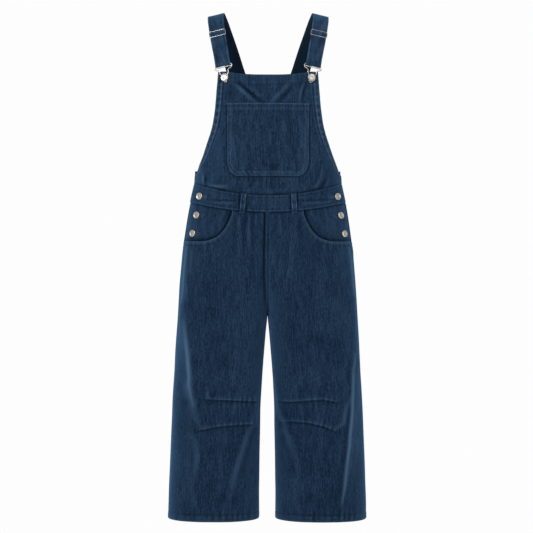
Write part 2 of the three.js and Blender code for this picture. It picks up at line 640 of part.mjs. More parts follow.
// All of the strap's stations: up to the slider, woven through it, on to the buckle, round its bar
// and back up behind itself. The slider's own place and axes come with them.
function strapStations(side, frame) {
  const { length, stationAt } = strapLine(side, frame);
  const outOf = ({ along, across }) => along.clone().cross(across).multiplyScalar(-side).normalize();
  const slideAt = length - SLIDER.fromBuckle;
  const slider = stationAt(slideAt);
  slider.out = outOf(slider);
  slider.p.addScaledVector(slider.out, SLIDER.lift);
  slider.across = slider.out.clone().cross(slider.along).multiplyScalar(-side).normalize();
  const woven = ({ along, rise }) => ({
    p: slider.p.clone().addScaledVector(slider.along, along).addScaledVector(slider.out, rise),
    across: slider.across,
    wide: STRAP.wide,
  });
  const upTo = slideAt - STRAP.clear;
  const onFrom = slideAt + STRAP.clear;
  const before = evenly(0, upTo, Math.round(upTo / STRAP.step));
  const after = evenly(onFrom, length, Math.round((length - onFrom) / STRAP.step));
  const fold = evenly(0, Math.PI, 5).slice(1).map((angle) => ({
    p: frame.bar.clone().addScaledVector(frame.out, FOLD_RADIUS * Math.cos(angle))
      .addScaledVector(frame.down, FOLD_RADIUS * Math.sin(angle)),
    across: frame.inwards,
    wide: STRAP.wide,
  }));
  const close = STRAP_CLOTH + STRAP.turnedGap;
  const returning = after.slice(0, -1).reverse().map((s) => {
    const front = stationAt(s);
    const apart = close + (2 * FOLD_RADIUS - close) * Math.exp(-(((length - s) / STRAP.settle) ** 2));
    const p = front.p.clone().addScaledVector(outOf(front), -apart);
    return { p, across: front.across, wide: STRAP.turnedWide };
  });
  const stations = [
    ...before.map(stationAt), ...WEAVE.map(woven), ...after.map(stationAt), ...fold, ...returning,
    ...TURNED_END.map(woven),
  ];
  return { stations, slider };
}

// A flat ribbon through stations, square at its edges.
function ribbon(stations, side, cloth) {
  const last = stations.length - 1;
  const step = (i) => stations[i + 1].p.clone().sub(stations[i].p).normalize();
  const outs = stations.map(({ across }, i) => {
    const along = step(Math.max(i - 1, 0)).add(step(Math.min(i, last - 1)));
    return along.cross(across).multiplyScalar(-side).normalize();
  });
  const point = (i, q, depth) => stations[i].p.clone()
    .addScaledVector(stations[i].across, q * stations[i].wide / 2)
    .addScaledVector(outs[i], cloth / 2 - depth);
  return wall(point, evenly(0, last, last), [-1, 1], cloth);
}

function addSlider(word, { p, across, along, out }) {
  const { half, inner, reach, bar, thick, corner, windowCorner, steps } = SLIDER;
  const outline = (w, h, r, path) => {
    path.moveTo(w - r, -h);
    path.absarc(w - r, -h + r, r, -Math.PI / 2, 0, false);
    path.absarc(w - r, h - r, r, 0, Math.PI / 2, false);
    path.absarc(-w + r, h - r, r, Math.PI / 2, Math.PI, false);
    path.absarc(-w + r, -h + r, r, Math.PI, 1.5 * Math.PI, false);
    return path;
  };
  const shape = outline(half, reach, corner, new THREE.Shape());
  const centres = (reach + bar / 2) / 2 - bar / 4;
  for (const sign of [-1, 1]) {
    const window = outline(inner, centres - bar / 2, windowCorner, new THREE.Path());
    const moved = window.getPoints(steps).map((q) => new THREE.Vector2(q.x, q.y + sign * centres));
    shape.holes.push(new THREE.Path(moved));
  }
  const geometry = new THREE.ExtrudeGeometry(shape, {
    depth: thick,
    bevelEnabled: false,
    curveSegments: steps,
  });
  geometry.translate(0, 0, -thick / 2);
  const mesh = addPiece("slider_" + word, geometry, NICKEL);
  const xAxis = across.clone();
  const zAxis = out.clone();
  const yAxis = new THREE.Vector3().crossVectors(zAxis, xAxis);
  if (yAxis.dot(along) < 0) xAxis.negate();
  yAxis.crossVectors(zAxis, xAxis);
  mesh.quaternion.setFromRotationMatrix(new THREE.Matrix4().makeBasis(xAxis, yAxis, zAxis));
  mesh.position.copy(p);
}

function addStrap(side, word) {
  const frame = buckleFrame(side);
  const { stations, slider } = strapStations(side, frame);
  addPiece("strap_" + word, ribbon(stations, side, STRAP_CLOTH), CORDUROY_BIB);
  addSlider(word, slider);
  addBuckle(side, word, frame);
  addButton("bib_button_" + word, BIB_BUTTON, side, BIB_BUTTON_AT.x, BIB_BUTTON_AT.z, 2 * SEAM_GAP);
}

addBib();
addBibPocket();
addBackPanel();
addWaistband("front", 24);
addWaistband("back", 20);
for (const [side, word] of [[-1, "right"], [1, "left"]]) {
  addLegs(side, word);
  addFacing(side, word);
  addStrap(side, word);
  addSideButtons(side, word);
}
BELT_LOOPS.forEach(addBeltLoop);

export default overalls;
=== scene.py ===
"""Bib overalls of fine-wale corduroy, filled out as they are worn, in metres.
x is the wearer's left, the front faces -y and z is up. Tables and forms are in millimetres."""

import math
from types import SimpleNamespace

import bpy
import numpy as np
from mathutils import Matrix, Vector


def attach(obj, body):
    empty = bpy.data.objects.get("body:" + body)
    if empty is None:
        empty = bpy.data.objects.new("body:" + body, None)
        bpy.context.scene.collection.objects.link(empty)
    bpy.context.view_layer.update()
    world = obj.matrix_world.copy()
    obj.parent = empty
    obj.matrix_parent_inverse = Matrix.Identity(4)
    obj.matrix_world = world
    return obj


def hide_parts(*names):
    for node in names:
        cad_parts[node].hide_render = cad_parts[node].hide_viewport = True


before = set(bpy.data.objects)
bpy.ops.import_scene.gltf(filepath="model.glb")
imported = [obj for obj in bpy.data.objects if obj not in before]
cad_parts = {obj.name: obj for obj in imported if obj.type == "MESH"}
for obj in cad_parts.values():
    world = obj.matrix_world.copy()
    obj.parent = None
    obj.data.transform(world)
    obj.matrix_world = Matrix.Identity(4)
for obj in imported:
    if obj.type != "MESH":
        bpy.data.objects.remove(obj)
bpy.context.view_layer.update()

MM = 0.001


# Camera, floor and light

WORLD_LIGHT = 0.35


def add_camera():
    """A long view straight at the front, level with the hips."""
    data = bpy.data.cameras.new("camera")
    data.type = "PERSP"
    data.sensor_width = 36
    data.sensor_height = 36
    data.angle = 2 * math.atan(0.693 / 4)
    camera = bpy.data.objects.new("camera", data)
    camera.location = (-0.0031, -4.0, -0.6573)
    camera.rotation_euler = (math.pi / 2, math.radians(-0.12), 0)
    bpy.context.scene.collection.objects.link(camera)
    bpy.context.scene.camera = camera


def add_floor():
    """A plain pale floor well below the hems; it ends behind, below the camera's view."""
    mesh = bpy.data.meshes.new("floor")
    mesh.from_pydata([(-6, -6, 0), (6, -6, 0), (6, 2.9, 0), (-6, 2.9, 0)], [], [(0, 1, 2, 3)])
    floor = bpy.data.objects.new("floor", mesh)
    floor.location = (0, 0, -1.9)
    pale = bpy.data.materials.new("pale_floor")
    pale.use_nodes = True
    pale.node_tree.nodes["Principled BSDF"].inputs["Base Color"].default_value = (0.9, 0.9, 0.9, 1)
    pale.node_tree.nodes["Principled BSDF"].inputs["Roughness"].default_value = 0.9
    mesh.materials.append(pale)
    bpy.context.scene.collection.objects.link(floor)


def add_area_light(name, place, aim, size, power):
    """A soft rectangle of light at a place, turned towards aim."""
    data = bpy.data.lights.new(name, "AREA")
    data.shape = "RECTANGLE"
    data.size = size[0]
    data.size_y = size[1]
    data.energy = power
    light = bpy.data.objects.new(name, data)
    light.location = place
    light.rotation_euler = (Vector(aim) - Vector(place)).to_track_quat("-Z", "Y").to_euler()
    bpy.context.scene.collection.objects.link(light)


def add_light():
    """A white backdrop that lights the garment less than it shows, two soft lights in front and two
    behind that catch the pile at its edges."""
    world = bpy.data.worlds.new("white_studio")
    world.use_nodes = True
    nodes, links = world.node_tree.nodes, world.node_tree.links
    seen = nodes.new("ShaderNodeLightPath")
    strength = nodes.new("ShaderNodeMapRange")
    strength.inputs["To Min"].default_value = WORLD_LIGHT
    strength.inputs["To Max"].default_value = 0.985
    links.new(seen.outputs["Is Camera Ray"], strength.inputs["Value"])
    links.new(strength.outputs["Result"], nodes["Background"].inputs["Strength"])
    nodes["Background"].inputs["Color"].default_value = (1, 1, 1, 1)
    bpy.context.scene.world = world
    add_area_light("key_light", (-1.5, -3.0, 1.3), (0, 0, -0.6), (1.1, 1.6), 68)
    add_area_light("fill_light", (1.9, -3.0, 0.0), (0, 0, -0.7), (1.4, 1.8), 22)
    add_area_light("rim_light_right", (-2.4, 1.2, 0.1), (-0.1, 0, -0.7), (0.7, 2.2), 13)
    add_area_light("rim_light_left", (2.4, 1.2, 0.1), (0.1, 0, -0.7), (0.7, 2.2), 13)
    bpy.context.scene.view_settings.view_transform = "Standard"


add_camera()
add_floor()
add_light()

# The garment's form

CLOTH = 1.6                    # one layer of corduroy with its pile
SQUARE = 2.35                  # 2 is an ellipse, more is squarer: every level section of trunk and leg
HEM = -1308.0
CROTCH = -772.0
# Where each leg starts to part from the trunk, and how the parting swings out and eases in.
RISE = {"front": -600.0, "back": -590.0, "swing": 1.4, "ease": 1.5}
Z, SIDE, GAP, FRONT, BACK = range(5)
# Level, half width, half gap between the legs, depth of the front and of the back.
LEVELS = np.array([
    (-150, 176, 0, 95, 104), (-250, 183, 0, 103, 111), (-340, 187, 0, 100, 106), (-433, 189.5, 0, 92, 91),
    (-475, 198, 0, 90, 90), (-516, 206, 0, 94, 99), (-578, 215.5, 0, 104, 116), (-620, 221, 0, 109, 124),
    (-682, 226, 0, 111, 126), (-745, 230.5, 0, 108, 119), (-772, 232.2, 0.1, 106, 114.5),
    (-828, 235.5, 5.3, 102, 106), (-911, 240, 12, 99, 101), (-994, 245, 17.3, 97, 98),
    (-1078, 249, 19, 95, 95), (-1161, 252.5, 20.5, 93, 93), (-1244, 255.5, 21.5, 91, 91),
    (HEM, 257, 21.8, 90, 90),
], float)
# Level and half width of the bib's edge and of the back panel's armhole.
BIB_EDGE = np.array([
    (-158, 127.3), (-166, 127.8), (-186, 129.6), (-212, 131.6), (-240, 133.7), (-268, 136.8), (-296, 141.5),
    (-320, 148.2), (-342, 155.7), (-362, 162.7), (-382, 170.2), (-400, 177.2), (-415, 183.2), (-430, 188.4),
    (-444, 200), (-480, 215),
], float)
ARMHOLE = np.array([
    (-311, 43), (-322, 46), (-336, 53), (-350, 65), (-363, 82), (-375, 103), (-386, 127), (-396, 151),
    (-405, 172), (-413, 186), (-424, 200), (-445, 210),
], float)
WAIST_TOP = {"front": -475.7, "back": -440.0, "side": -443.0}
WAIST_BOTTOM = {"front": -518.8, "back": -488.0, "side": -492.0}
BIB_TOP = {"centre": -170.0, "dip": 9.5, "at": 0.8}
POCKET = {"half": 104.0, "top": -243.0, "bottom": -427.4, "corner": 42.0, "cut": 28.0, "lift": 2.9}
# The scooped pocket mouth: x and z, for the side x > 0.
SCOOP = [(89.7, -508), (90, -514), (91.5, -523), (100, -545), (112.5, -566), (129, -582), (155, -592),
         (182, -593.5), (207, -592.5), (225, -591)]
FACING = {"inner": 78.0, "bottom": -622.0, "depth": 2.7, "cloth": 1.4}

# Soft folds: ends in x and z, half width, and height, which is negative in a trough. They fade out
# towards the side seams and inseams.
FOLD_FADE = 16.0
FOLDS = {
    "front": [
        (-209, -600, -205, -760, 13, 4), (-222, -760, -196, -960, 14, 5), (-199, -960, -182, -1080, 14, 6),
        (-186, -1090, -190, -1250, 15, 6), (-42, -1010, -98, -1225, 14, 6), (-22, -980, -40, -1060, 13, 5),
        (222, -740, 226, -900, 13, 5), (226, -900, 216, -1110, 14, 6), (214, -1120, 190, -1270, 15, 6),
        (20, -960, 76, -1130, 14, 5), (214, -600, 212, -740, 13, 4), (-75, -182, -10, -236, 12, -5),
        (50, -190, 20, -226, 13, 4), (98, -186, 86, -236, 10, -4), (-166, -400, -160, -436, 9, 4),
        (-200, -1004, -50, -1006, 9, -4), (-170, -1082, -60, -1068, 9, -4), (40, -1008, 175, -1008, 9, -4),
        (40, -1060, 170, -1082, 9, -4),
    ],
    "back": [
        (-60, -760, -190, -850, 16, -5), (60, -764, 188, -846, 16, -5), (-170, -880, -150, -1120, 17, 6),
        (176, -870, 158, -1090, 17, 6), (-70, -960, -96, -1230, 16, 5), (66, -940, 90, -1200, 16, 5),
        (-212, -620, -200, -800, 15, 4), (214, -610, 204, -790, 15, 4),
    ],
}


def read_table(table, z, column):
    """A smooth curve through one column of a table whose z falls from row to row: a cubic between rows,
    with the slope of the line through each row's neighbours."""
    heights = table[:, 0]
    values = table[:, column]
    last = len(heights) - 1
    rows = np.arange(last + 1)
    before = np.maximum(rows - 1, 0)
    after = np.minimum(rows + 1, last)
    slopes = (values[after] - values[before]) / (heights[after] - heights[before])
    i = np.clip(np.searchsorted(-heights, -z, side="right") - 1, 0, last - 1)
    step = heights[i + 1] - heights[i]
    t = np.clip((z - heights[i]) / step, 0, 1)
    return ((2 * t**3 - 3 * t**2 + 1) * values[i] + (t**3 - 2 * t**2 + t) * step * slopes[i]
            + (3 * t**2 - 2 * t**3) * values[i + 1] + (t**3 - t**2) * step * slopes[i + 1])


def signed_power(value, power):
    """The power of a value's size, with the value's sign."""
    return np.sign(value) * np.abs(value) ** power


def parting(z, half):
    """How far a leg has parted from the trunk: 0 at the hips, 1 from the crotch down."""
    height = np.clip((z - CROTCH) / (RISE[half] - CROTCH), 0, 1)
    return (1 - height ** RISE["swing"]) ** RISE["ease"]


def section(z, half):
    """Half width, middle and last angle of a level section, and its depth."""
    width = read_table(LEVELS, z, SIDE)
    gap = np.maximum(read_table(LEVELS, z, GAP), 0)
    depth = read_table(LEVELS, z, FRONT if half == "front" else BACK)
    part = parting(z, half)
    middle = (gap + part * width) / (1 + part)
    return width, middle, math.pi / 2 + np.arcsin(part ** (SQUARE / 2)), depth


def form_point(side, half, turn, z):
    """A point of the bare form: turn runs from 0 at the side seam to 1 at the centre seam or inseam,
    along a squared ellipse whose middle moves out from the centre as the leg parts."""
    turn, z = np.broadcast_arrays(np.asarray(turn, float), np.asarray(z, float))
    width, middle, last, depth = section(z, half)
    angle = turn * last
    x = middle + (width - middle) * signed_power(np.cos(angle), 2 / SQUARE)
    y = depth * signed_power(np.sin(angle), 2 / SQUARE)
    return np.stack([side * x, -y if half == "front" else y, z], -1)


def form_normal(side, half, turn, z):
    """Outward normal: the cross product of the steps along the turn and up, turned to face out."""
    near = 0.002
    along = form_point(side, half, turn + near, z) - form_point(side, half, turn - near, z)
    up = form_point(side, half, turn, z + 0.5) - form_point(side, half, turn, z - 0.5)
    normal = np.cross(along, up)
    normal /= np.linalg.norm(normal, axis=-1, keepdims=True)
    facing = np.asarray(side) * (-1 if half == "front" else 1)
    return normal * np.expand_dims(np.broadcast_to(facing, normal.shape[:-1]), -1)


def turn_at(x, z, half):
    """The turn at which a level section is x away from the centre plane."""
    x, z = np.broadcast_arrays(np.asarray(x, float), np.asarray(z, float))
    width, middle, last, _ = section(z, half)
    share = np.clip((np.abs(x) - middle) / (width - middle), -1, 1)
    return np.arccos(signed_power(share, SQUARE / 2)) / last


def smooth(low, high, value):
    """0 below low, 1 above high, with a smooth step between."""
    t = np.clip((value - low) / (high - low), 0, 1)
    return t * t * (3 - 2 * t)


def fold_share(half, x, z):
    """What is left of the folds near a side seam, and near an inseam where the legs have parted."""
    to_side = read_table(LEVELS, z, SIDE) - np.abs(x)
    to_inseam = np.abs(x) - read_table(LEVELS, z, GAP)
    return smooth(0, FOLD_FADE, to_side) * (1 - parting(z, half) * (1 - smooth(0, FOLD_FADE, to_inseam)))


def fold_height(half, x, z):
    """Sum of the soft folds: each is a bell across its line, fading past its ends."""
    height = np.zeros(np.shape(x))
    for x0, z0, x1, z1, wide, high in FOLDS[half]:
        dx, dz = x1 - x0, z1 - z0
        along = np.clip(((x - x0) * dx + (z - z0) * dz) / (dx * dx + dz * dz), 0, 1)
        away = np.hypot(x - x0 - along * dx, z - z0 - along * dz)
        height += high * np.exp(-((away / wide) ** 2))
    return height * fold_share(half, x, z)


def cloth_point(side, half, turn, z, lift):
    """The form moved out along its normal by the soft folds and by lift."""
    point = form_point(side, half, turn, z)
    out = fold_height(half, point[..., 0], point[..., 2]) + lift
    return point + form_normal(side, half, turn, z) * np.expand_dims(out, -1)


def share_at(turn):
    """How far out a turn lies on the trunk, as a share of its half width."""
    return np.cos(np.clip(turn, 0, 1) * math.pi / 2) ** (2 / SQUARE)


def waist_edge(edge, half, turn):
    """The waistband's edge, lowest in the middle of the front: a parabola in the share."""
    return edge[half] + (edge["side"] - edge[half]) * share_at(turn) ** 2


# Creases, ripples and the pile

PITCH = 2.9                    # from one wale of the corduroy to the next
PILE = 0.45                    # height of a wale above the groove
STEP = PITCH / 4


def wale(s):
    """Height of the pile at s across the cloth: round backs with narrow grooves between them."""
    return PILE * (1 - np.abs(2 * np.mod(s / PITCH, 1.0) - 1) ** 2.4)


def near_line(x, z, line):
    """Distance from a line of straight runs, the share of the line at the nearest place, and the
    distance again with its sign: above a line that runs towards +x is positive."""
    line = np.asarray(line, float)
    runs = np.diff(line, axis=0)
    lengths = np.hypot(runs[:, 0], runs[:, 1])
    starts = np.concatenate([[0], np.cumsum(lengths)])
    best = np.full(np.shape(x), 1e9)
    share = np.zeros(np.shape(x))
    sign = np.ones(np.shape(x))
    for i, (dx, dz) in enumerate(runs):
        from_x, from_z = x - line[i, 0], z - line[i, 1]
        along = np.clip((from_x * dx + from_z * dz) / lengths[i] ** 2, 0, 1)
        away = np.hypot(from_x - along * dx, from_z - along * dz)
        closer = away < best
        best = np.where(closer, away, best)
        share = np.where(closer, (starts[i] + along * lengths[i]) / starts[-1], share)
        sign = np.where(closer, np.where(dx * from_z - dz * from_x >= 0, 1, -1), sign)
    return best, share, best * sign


def ridge(x, z, line, wide, high):
    """A soft crease: a bell across a line, highest in the middle of its length."""
    away, share, _ = near_line(x, z, line)
    return high * np.exp(-((away / wide) ** 2)) * (0.3 + 0.7 * np.sin(math.pi * share) ** 0.7)


def tuck(x, z, line, high):
    """A stitched tuck: the cloth above the line overhangs and falls in a sharp step to a shallow
    trough below it."""
    away, share, above = near_line(x, z, line)
    ends = smooth(0, 0.12, share) * smooth(0, 0.12, 1 - share)
    step = 0.5 + 0.5 * np.tanh(above / 0.8)
    over = step * np.exp(-np.maximum(above, 0) / 11)
    under = (1 - step) * np.exp(-np.maximum(-above, 0) / 8)
    ends = ends * np.where((share <= 0) | (share >= 1), np.exp(-away / 6), 1)
    return high * ends * (over - 0.6 * under)


def waves(x, z, count, longest, shortest, stretch, seed):
    """Gentle unevenness of about 1 in height: a sum of plane waves whose crests run mostly up and down."""
    draw = np.random.default_rng(seed)
    height = np.zeros(np.shape(x))
    for length in np.geomspace(longest, shortest, count):
        lean = draw.normal(0, 0.45)
        phase = draw.uniform(0, 2 * math.pi)
        bend = draw.uniform(0, 2 * math.pi)
        across = x * math.cos(lean) + z * math.sin(lean) / stretch
        height += (length / longest) ** 0.8 * np.sin(2 * math.pi * across / length + phase
                                                    + 1.3 * np.sin(z / (length * 1.9) + bend))
    return height / math.sqrt(count)


def ripples(along, away, length, reach, seed):
    """Puckers beside a line of stitches: uneven waves along it that die out across it."""
    draw = np.random.default_rng(seed)
    a, b, c = draw.uniform(0, 2 * math.pi, 3)
    wave = (np.sin(2 * math.pi * along / length + a + 1.1 * np.sin(along / length + b))
            * (0.6 + 0.4 * np.sin(along / (length * 2.7) + c)))
    return wave * np.exp(-np.abs(away) / reach)


def pressed(x, z, lines, depth=0.35, wide=1.2):
    """The groove that a line of stitches presses into the pile."""
    height = np.zeros(np.shape(x))
    for line in lines:
        away, _, _ = near_line(x, z, line)
        height = np.minimum(height, -depth * np.exp(-((away / wide) ** 2)))
    return height


# Meshes


def facing_out(points, face_sets):
    """The faces, all turned round if together they enclose a negative volume."""
    volume = 0.0
    for faces in face_sets:
        for j in range(1, faces.shape[1] - 1):
            volume += np.einsum("ij,ij->", points[faces[:, 0]],
                                np.cross(points[faces[:, j]], points[faces[:, j + 1]]))
    return face_sets if volume > 0 else [faces[:, ::-1] for faces in face_sets]


CLOTH_CORNER = 62              # corners sharper than this many degrees stay sharp in the shading of cloth
METAL_CORNER = 50              # the same on metal


def make_mesh(name, points, face_sets, cloth_uv=None, inside=None, painted_light_and_mottle=None, sharp=None):
    """A mesh from points in millimetres and arrays of faces, one array for each number of corners."""
    sizes = np.concatenate([np.full(len(faces), faces.shape[1]) for faces in face_sets])
    corners = np.concatenate([faces.ravel() for faces in face_sets]).astype(np.int32)
    starts = np.concatenate([[0], np.cumsum(sizes)[:-1]]).astype(np.int32)
    mesh = bpy.data.meshes.new(name)
    mesh.vertices.add(len(points))
    mesh.vertices.foreach_set("co", (points * MM).astype(np.float32).ravel())
    mesh.loops.add(len(corners))
    mesh.polygons.add(len(sizes))
    mesh.polygons.foreach_set("loop_start", starts)
    mesh.polygons.foreach_set("vertices", corners)
    mesh.update(calc_edges=True)
    mesh.validate()
    mesh.polygons.foreach_set("use_smooth", np.ones(len(mesh.polygons), bool))
    loops = np.empty(len(mesh.loops), np.int32)
    mesh.loops.foreach_get("vertex_index", loops)
    if cloth_uv is not None:
        layer = mesh.uv_layers.new(name="cloth")
        layer.data.foreach_set("uv", cloth_uv[loops].astype(np.float32).ravel())
    # painted_light_and_mottle lightens the pile with painted highlights and darkens it with painted shade; on
    # the straps it also holds a random mottle.
    for title, values in (("inside", inside), ("painted_light_and_mottle", painted_light_and_mottle)):
        if values is not None:
            attribute = mesh.attributes.new(title, "FLOAT", "POINT")
            attribute.data.foreach_set("value", values.astype(np.float32))
    if sharp is not None:
        mesh.set_sharp_from_angle(angle=math.radians(sharp))
    return mesh


def add_piece(mesh, finish, nodes=()):
    """The piece in the scene, in place of the solids that it stands for."""
    piece = bpy.data.objects.new(mesh.name, mesh)
    bpy.context.scene.collection.objects.link(piece)
    mesh.materials.append(finish)
    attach(piece, "root")
    if nodes:
        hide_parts(*nodes)
    return piece


def add_cloth(name, parts, finish):
    """A shell of cloth in place of the solid of the same name."""
    mesh = make_mesh(name + "_cloth", *parts, sharp=CLOTH_CORNER)
    add_piece(mesh, finishes[finish], (name,))


def joined(parts):
    """Several shells as one, with the corners renumbered: points, faces and values at the points."""
    points = np.concatenate([part[0] for part in parts])
    by_size = {}
    first = 0
    for part_points, face_sets, *_ in parts:
        for faces in face_sets:
            by_size.setdefault(faces.shape[1], []).append(faces + first)
        first += len(part_points)
    face_sets = [np.concatenate(faces) for faces in by_size.values()]
    return points, face_sets, *(np.concatenate(values) for values in zip(*(part[2:] for part in parts)))


def spot(x, z, **more):
    """A place on a panel: x, z, the distance s across the cloth from its grain line and the distances
    from the panel's four edges, which are far where they aren't given. A relief may add to its light:
    painted highlights above 0 and painted shade below 0."""
    far = {"s": 0.0, "left": 1e3, "right": 1e3, "top": 1e3, "bottom": 1e3, "light": np.zeros(np.shape(x))}
    return SimpleNamespace(x=x, z=z, **{**far, **more})


def rolled(at, edges, deep=0.9, wide=1.6):
    """The cloth's edges roll in: a half bell down from each named edge."""
    height = np.zeros(np.shape(at.x))
    for edge in edges:
        height -= deep * np.exp(-((getattr(at, edge) / wide) ** 2))
    return height


def bell_mean(values, rows, columns, wide):
    """The mean of values under a bell of the given half width, by one matrix for the rows' places and
    one for the columns'."""
    for places, weights_first in ((rows, True), (columns, False)):
        bell = np.exp(-(((places[:, None] - places[None, :]) / wide) ** 2)) * np.abs(np.gradient(places))
        bell /= bell.sum(axis=1, keepdims=True)
        values = bell @ values if weights_first else values @ bell.T
    return values


def line_band(away, middle, wide, high):
    """A soft line of light or shade at a distance from an edge."""
    return high * np.exp(-(((away - middle) / wide) ** 2))


def cloth_shell(half, place, rows, lift, relief, grain=0.5, cloth=CLOTH, pile=1.0):
    """A panel of corduroy as a closed shell. place(u, row) gives side, turn and z. The columns run
    along the wales, four to each, at equal distances across the cloth from the grain line, and stop at
    the panel's edges. The grain line is at u = grain, or at x = grain(z). The outer face is the form
    moved out by lift, by relief(at) and by the pile; the inner face is plain, one column in eight, a
    cloth's thickness further in. The pile gets painted highlights where the relief stands above its own
    mean, painted shade where it lies below, and the relief's own painted light."""
    rows = np.asarray(rows, float)[:, None]
    us = np.linspace(0, 1, 321)
    side, turn, z = place(us[None, :], rows)
    base = cloth_point(side, half, turn, z, lift)
    across = np.concatenate([np.zeros((len(rows), 1)),
                             np.cumsum(np.linalg.norm(np.diff(base, axis=1), axis=-1), axis=1)], 1)
    grains = np.full(len(rows), grain) if not callable(grain) else np.array(
        [np.interp(-grain(levels.mean()), -np.abs(xs), us) for xs, levels in zip(base[..., 0], base[..., 2])])
    across -= np.array([np.interp(where, us, line) for where, line in zip(grains, across)])[:, None]
    low, high = across[:, :1], across[:, -1:]
    ks = np.arange(math.floor(low.min() / STEP), math.ceil(high.max() / STEP) + 1)
    s = np.clip(ks[None, :] * STEP, low, high)
    u = np.array([np.interp(line, whole, us) for line, whole in zip(s, across)])
    first = np.sum(ks[None, :] * STEP <= low, axis=1, keepdims=True) - 1
    last = len(ks) - np.sum(ks[None, :] * STEP >= high, axis=1, keepdims=True)
    side, turn, z = place(u, rows)
    form = form_point(side, half, turn, z)
    normal = form_normal(side, half, turn, z)
    folds = fold_height(half, form[..., 0], form[..., 2])
    bare = form + normal * (folds + lift)[..., None]
    down = np.concatenate([np.zeros((1, len(ks))),
                           np.cumsum(np.linalg.norm(np.diff(bare, axis=0), axis=-1), axis=0)])
    at = spot(form[..., 0], form[..., 2], s=s, u=u, left=s - low, right=high - s, top=down,
              bottom=down[-1:] - down)
    height, pile_share = relief(at)
    # Painted light: highlights on the relief's crests, shade in its troughs, and the painted light that
    # relief(at) adds.
    painted_relief_light = height - bell_mean(height, down.mean(axis=1), ks * STEP, 9.0) + at.light
    outer = bare + normal * (height + pile * pile_share * wale(s))[..., None]
    picked = np.unique(np.concatenate([[0, len(ks) - 1], np.nonzero(ks % 8 == 0)[0]]))
    thick = cloth(at) if callable(cloth) else np.full(at.x.shape, cloth)
    inner = (bare + normal * (height - thick)[..., None])[:, picked]
    rows_count, columns = s.shape
    column = np.clip(np.arange(columns)[None, :], first, last)
    ids = np.arange(rows_count)[:, None] * columns + column
    inner_ids = rows_count * columns + np.arange(rows_count * len(picked)).reshape(rows_count, -1)
    edge_first = rows_count * columns + rows_count * len(picked) + np.arange(rows_count)
    edge_last = edge_first + rows_count
    in_edge = bare + normal * (height - thick)[..., None]
    left_points = in_edge[np.arange(rows_count), first[:, 0]]
    right_points = in_edge[np.arange(rows_count), last[:, 0]]
    inner_ids = np.where(picked[None, :] <= first, edge_first[:, None], inner_ids)
    inner_ids = np.where(picked[None, :] >= last, edge_last[:, None], inner_ids)
    points = np.concatenate([outer.reshape(-1, 3), inner.reshape(-1, 3), left_points, right_points])
    flat_uv = np.stack([s, -down], -1) / PITCH
    uv = np.concatenate([flat_uv.reshape(-1, 2), flat_uv[:, picked].reshape(-1, 2),
                         flat_uv[np.arange(rows_count), first[:, 0]],
                         flat_uv[np.arange(rows_count), last[:, 0]]])
    inside = np.ones(len(points))
    inside[:rows_count * columns] = 0
    # Painted light goes on the outer face only.
    painted_light_and_mottle = np.zeros(len(points))
    painted_light_and_mottle[:rows_count * columns] = np.clip(painted_relief_light, -1.5, 2.5).ravel()

    quads = np.concatenate([
        np.stack([ids[:-1, :-1], ids[:-1, 1:], ids[1:, 1:], ids[1:, :-1]], -1).reshape(-1, 4),
        np.stack([inner_ids[:-1, :-1], inner_ids[1:, :-1], inner_ids[1:, 1:], inner_ids[:-1, 1:]],
                 -1).reshape(-1, 4),
        np.stack([ids[:-1, 0], ids[1:, 0], edge_first[1:], edge_first[:-1]], -1),
        np.stack([ids[:-1, -1], edge_last[:-1], edge_last[1:], ids[1:, -1]], -1),
    ])
    rims = {}
    for row, turned in ((0, False), (rows_count - 1, True)):
        stops = np.clip(picked, first[row, 0], last[row, 0])
        for i in range(len(picked) - 1):
            if stops[i] == stops[i + 1]:
                continue
            loop = [*ids[row, stops[i]:stops[i + 1] + 1], inner_ids[row, i + 1], inner_ids[row, i]]
            rims.setdefault(len(loop), []).append(loop if turned else loop[::-1])
    face_sets = split_flat(quads) + [np.array(loops) for loops in rims.values()]
    return without_spares(points, facing_out(points, face_sets), uv, inside, painted_light_and_mottle)


def split_flat(quads):
    """Quads with two corners in one place become triangles, and those with less go."""
    same = quads == np.roll(quads, -1, axis=1)
    count = same.sum(axis=1)
    whole = quads[count == 0]
    crossed = (quads[:, 0] == quads[:, 2]) | (quads[:, 1] == quads[:, 3])
    lone = quads[(count == 1) & ~crossed]
    spare = same[(count == 1) & ~crossed].argmax(axis=1)
    keep = np.stack([(spare + j) % 4 for j in (1, 2, 3)], -1)
    triangles = np.take_along_axis(lone, keep, axis=1)
    return [whole, triangles] if len(triangles) else [whole]


def without_spares(points, face_sets, *values):
    """Drops the points that no face uses."""
    used = np.unique(np.concatenate([faces.ravel() for faces in face_sets]))
    new = np.zeros(len(points), int)
    new[used] = np.arange(len(used))
    return points[used], [new[faces] for faces in face_sets], *(value[used] for value in values)


# Sewing


stitches = {}


def read_along(run, values, where):
    """Each column of values, known at the distances of run, read at the distances in where."""
    return np.stack([np.interp(where, run, column) for column in values.T], -1)


def add_stitches(group, points, normals, pitch=3.2, long=2.4, radius=0.38):
    """Stitches at equal distances along a dense line of points, kept for their group's mesh."""
    steps = np.linalg.norm(np.diff(points, axis=0), axis=1)
    run = np.concatenate([[0], np.cumsum(steps)])
    count = max(int(round(run[-1] / pitch)), 1)
    middles = (np.arange(count) + 0.5) * run[-1] / count
    along = read_along(run, points, middles + 0.6) - read_along(run, points, middles - 0.6)
    along /= np.linalg.norm(along, axis=1, keepdims=True)
    normal = read_along(run, normals, middles)
    normal -= along * np.sum(normal * along, axis=1, keepdims=True)
    normal /= np.linalg.norm(normal, axis=1, keepdims=True)
    sizes = np.tile([long, radius], (count, 1))
    stitches.setdefault(group, []).append((read_along(run, points, middles), along, normal, sizes))


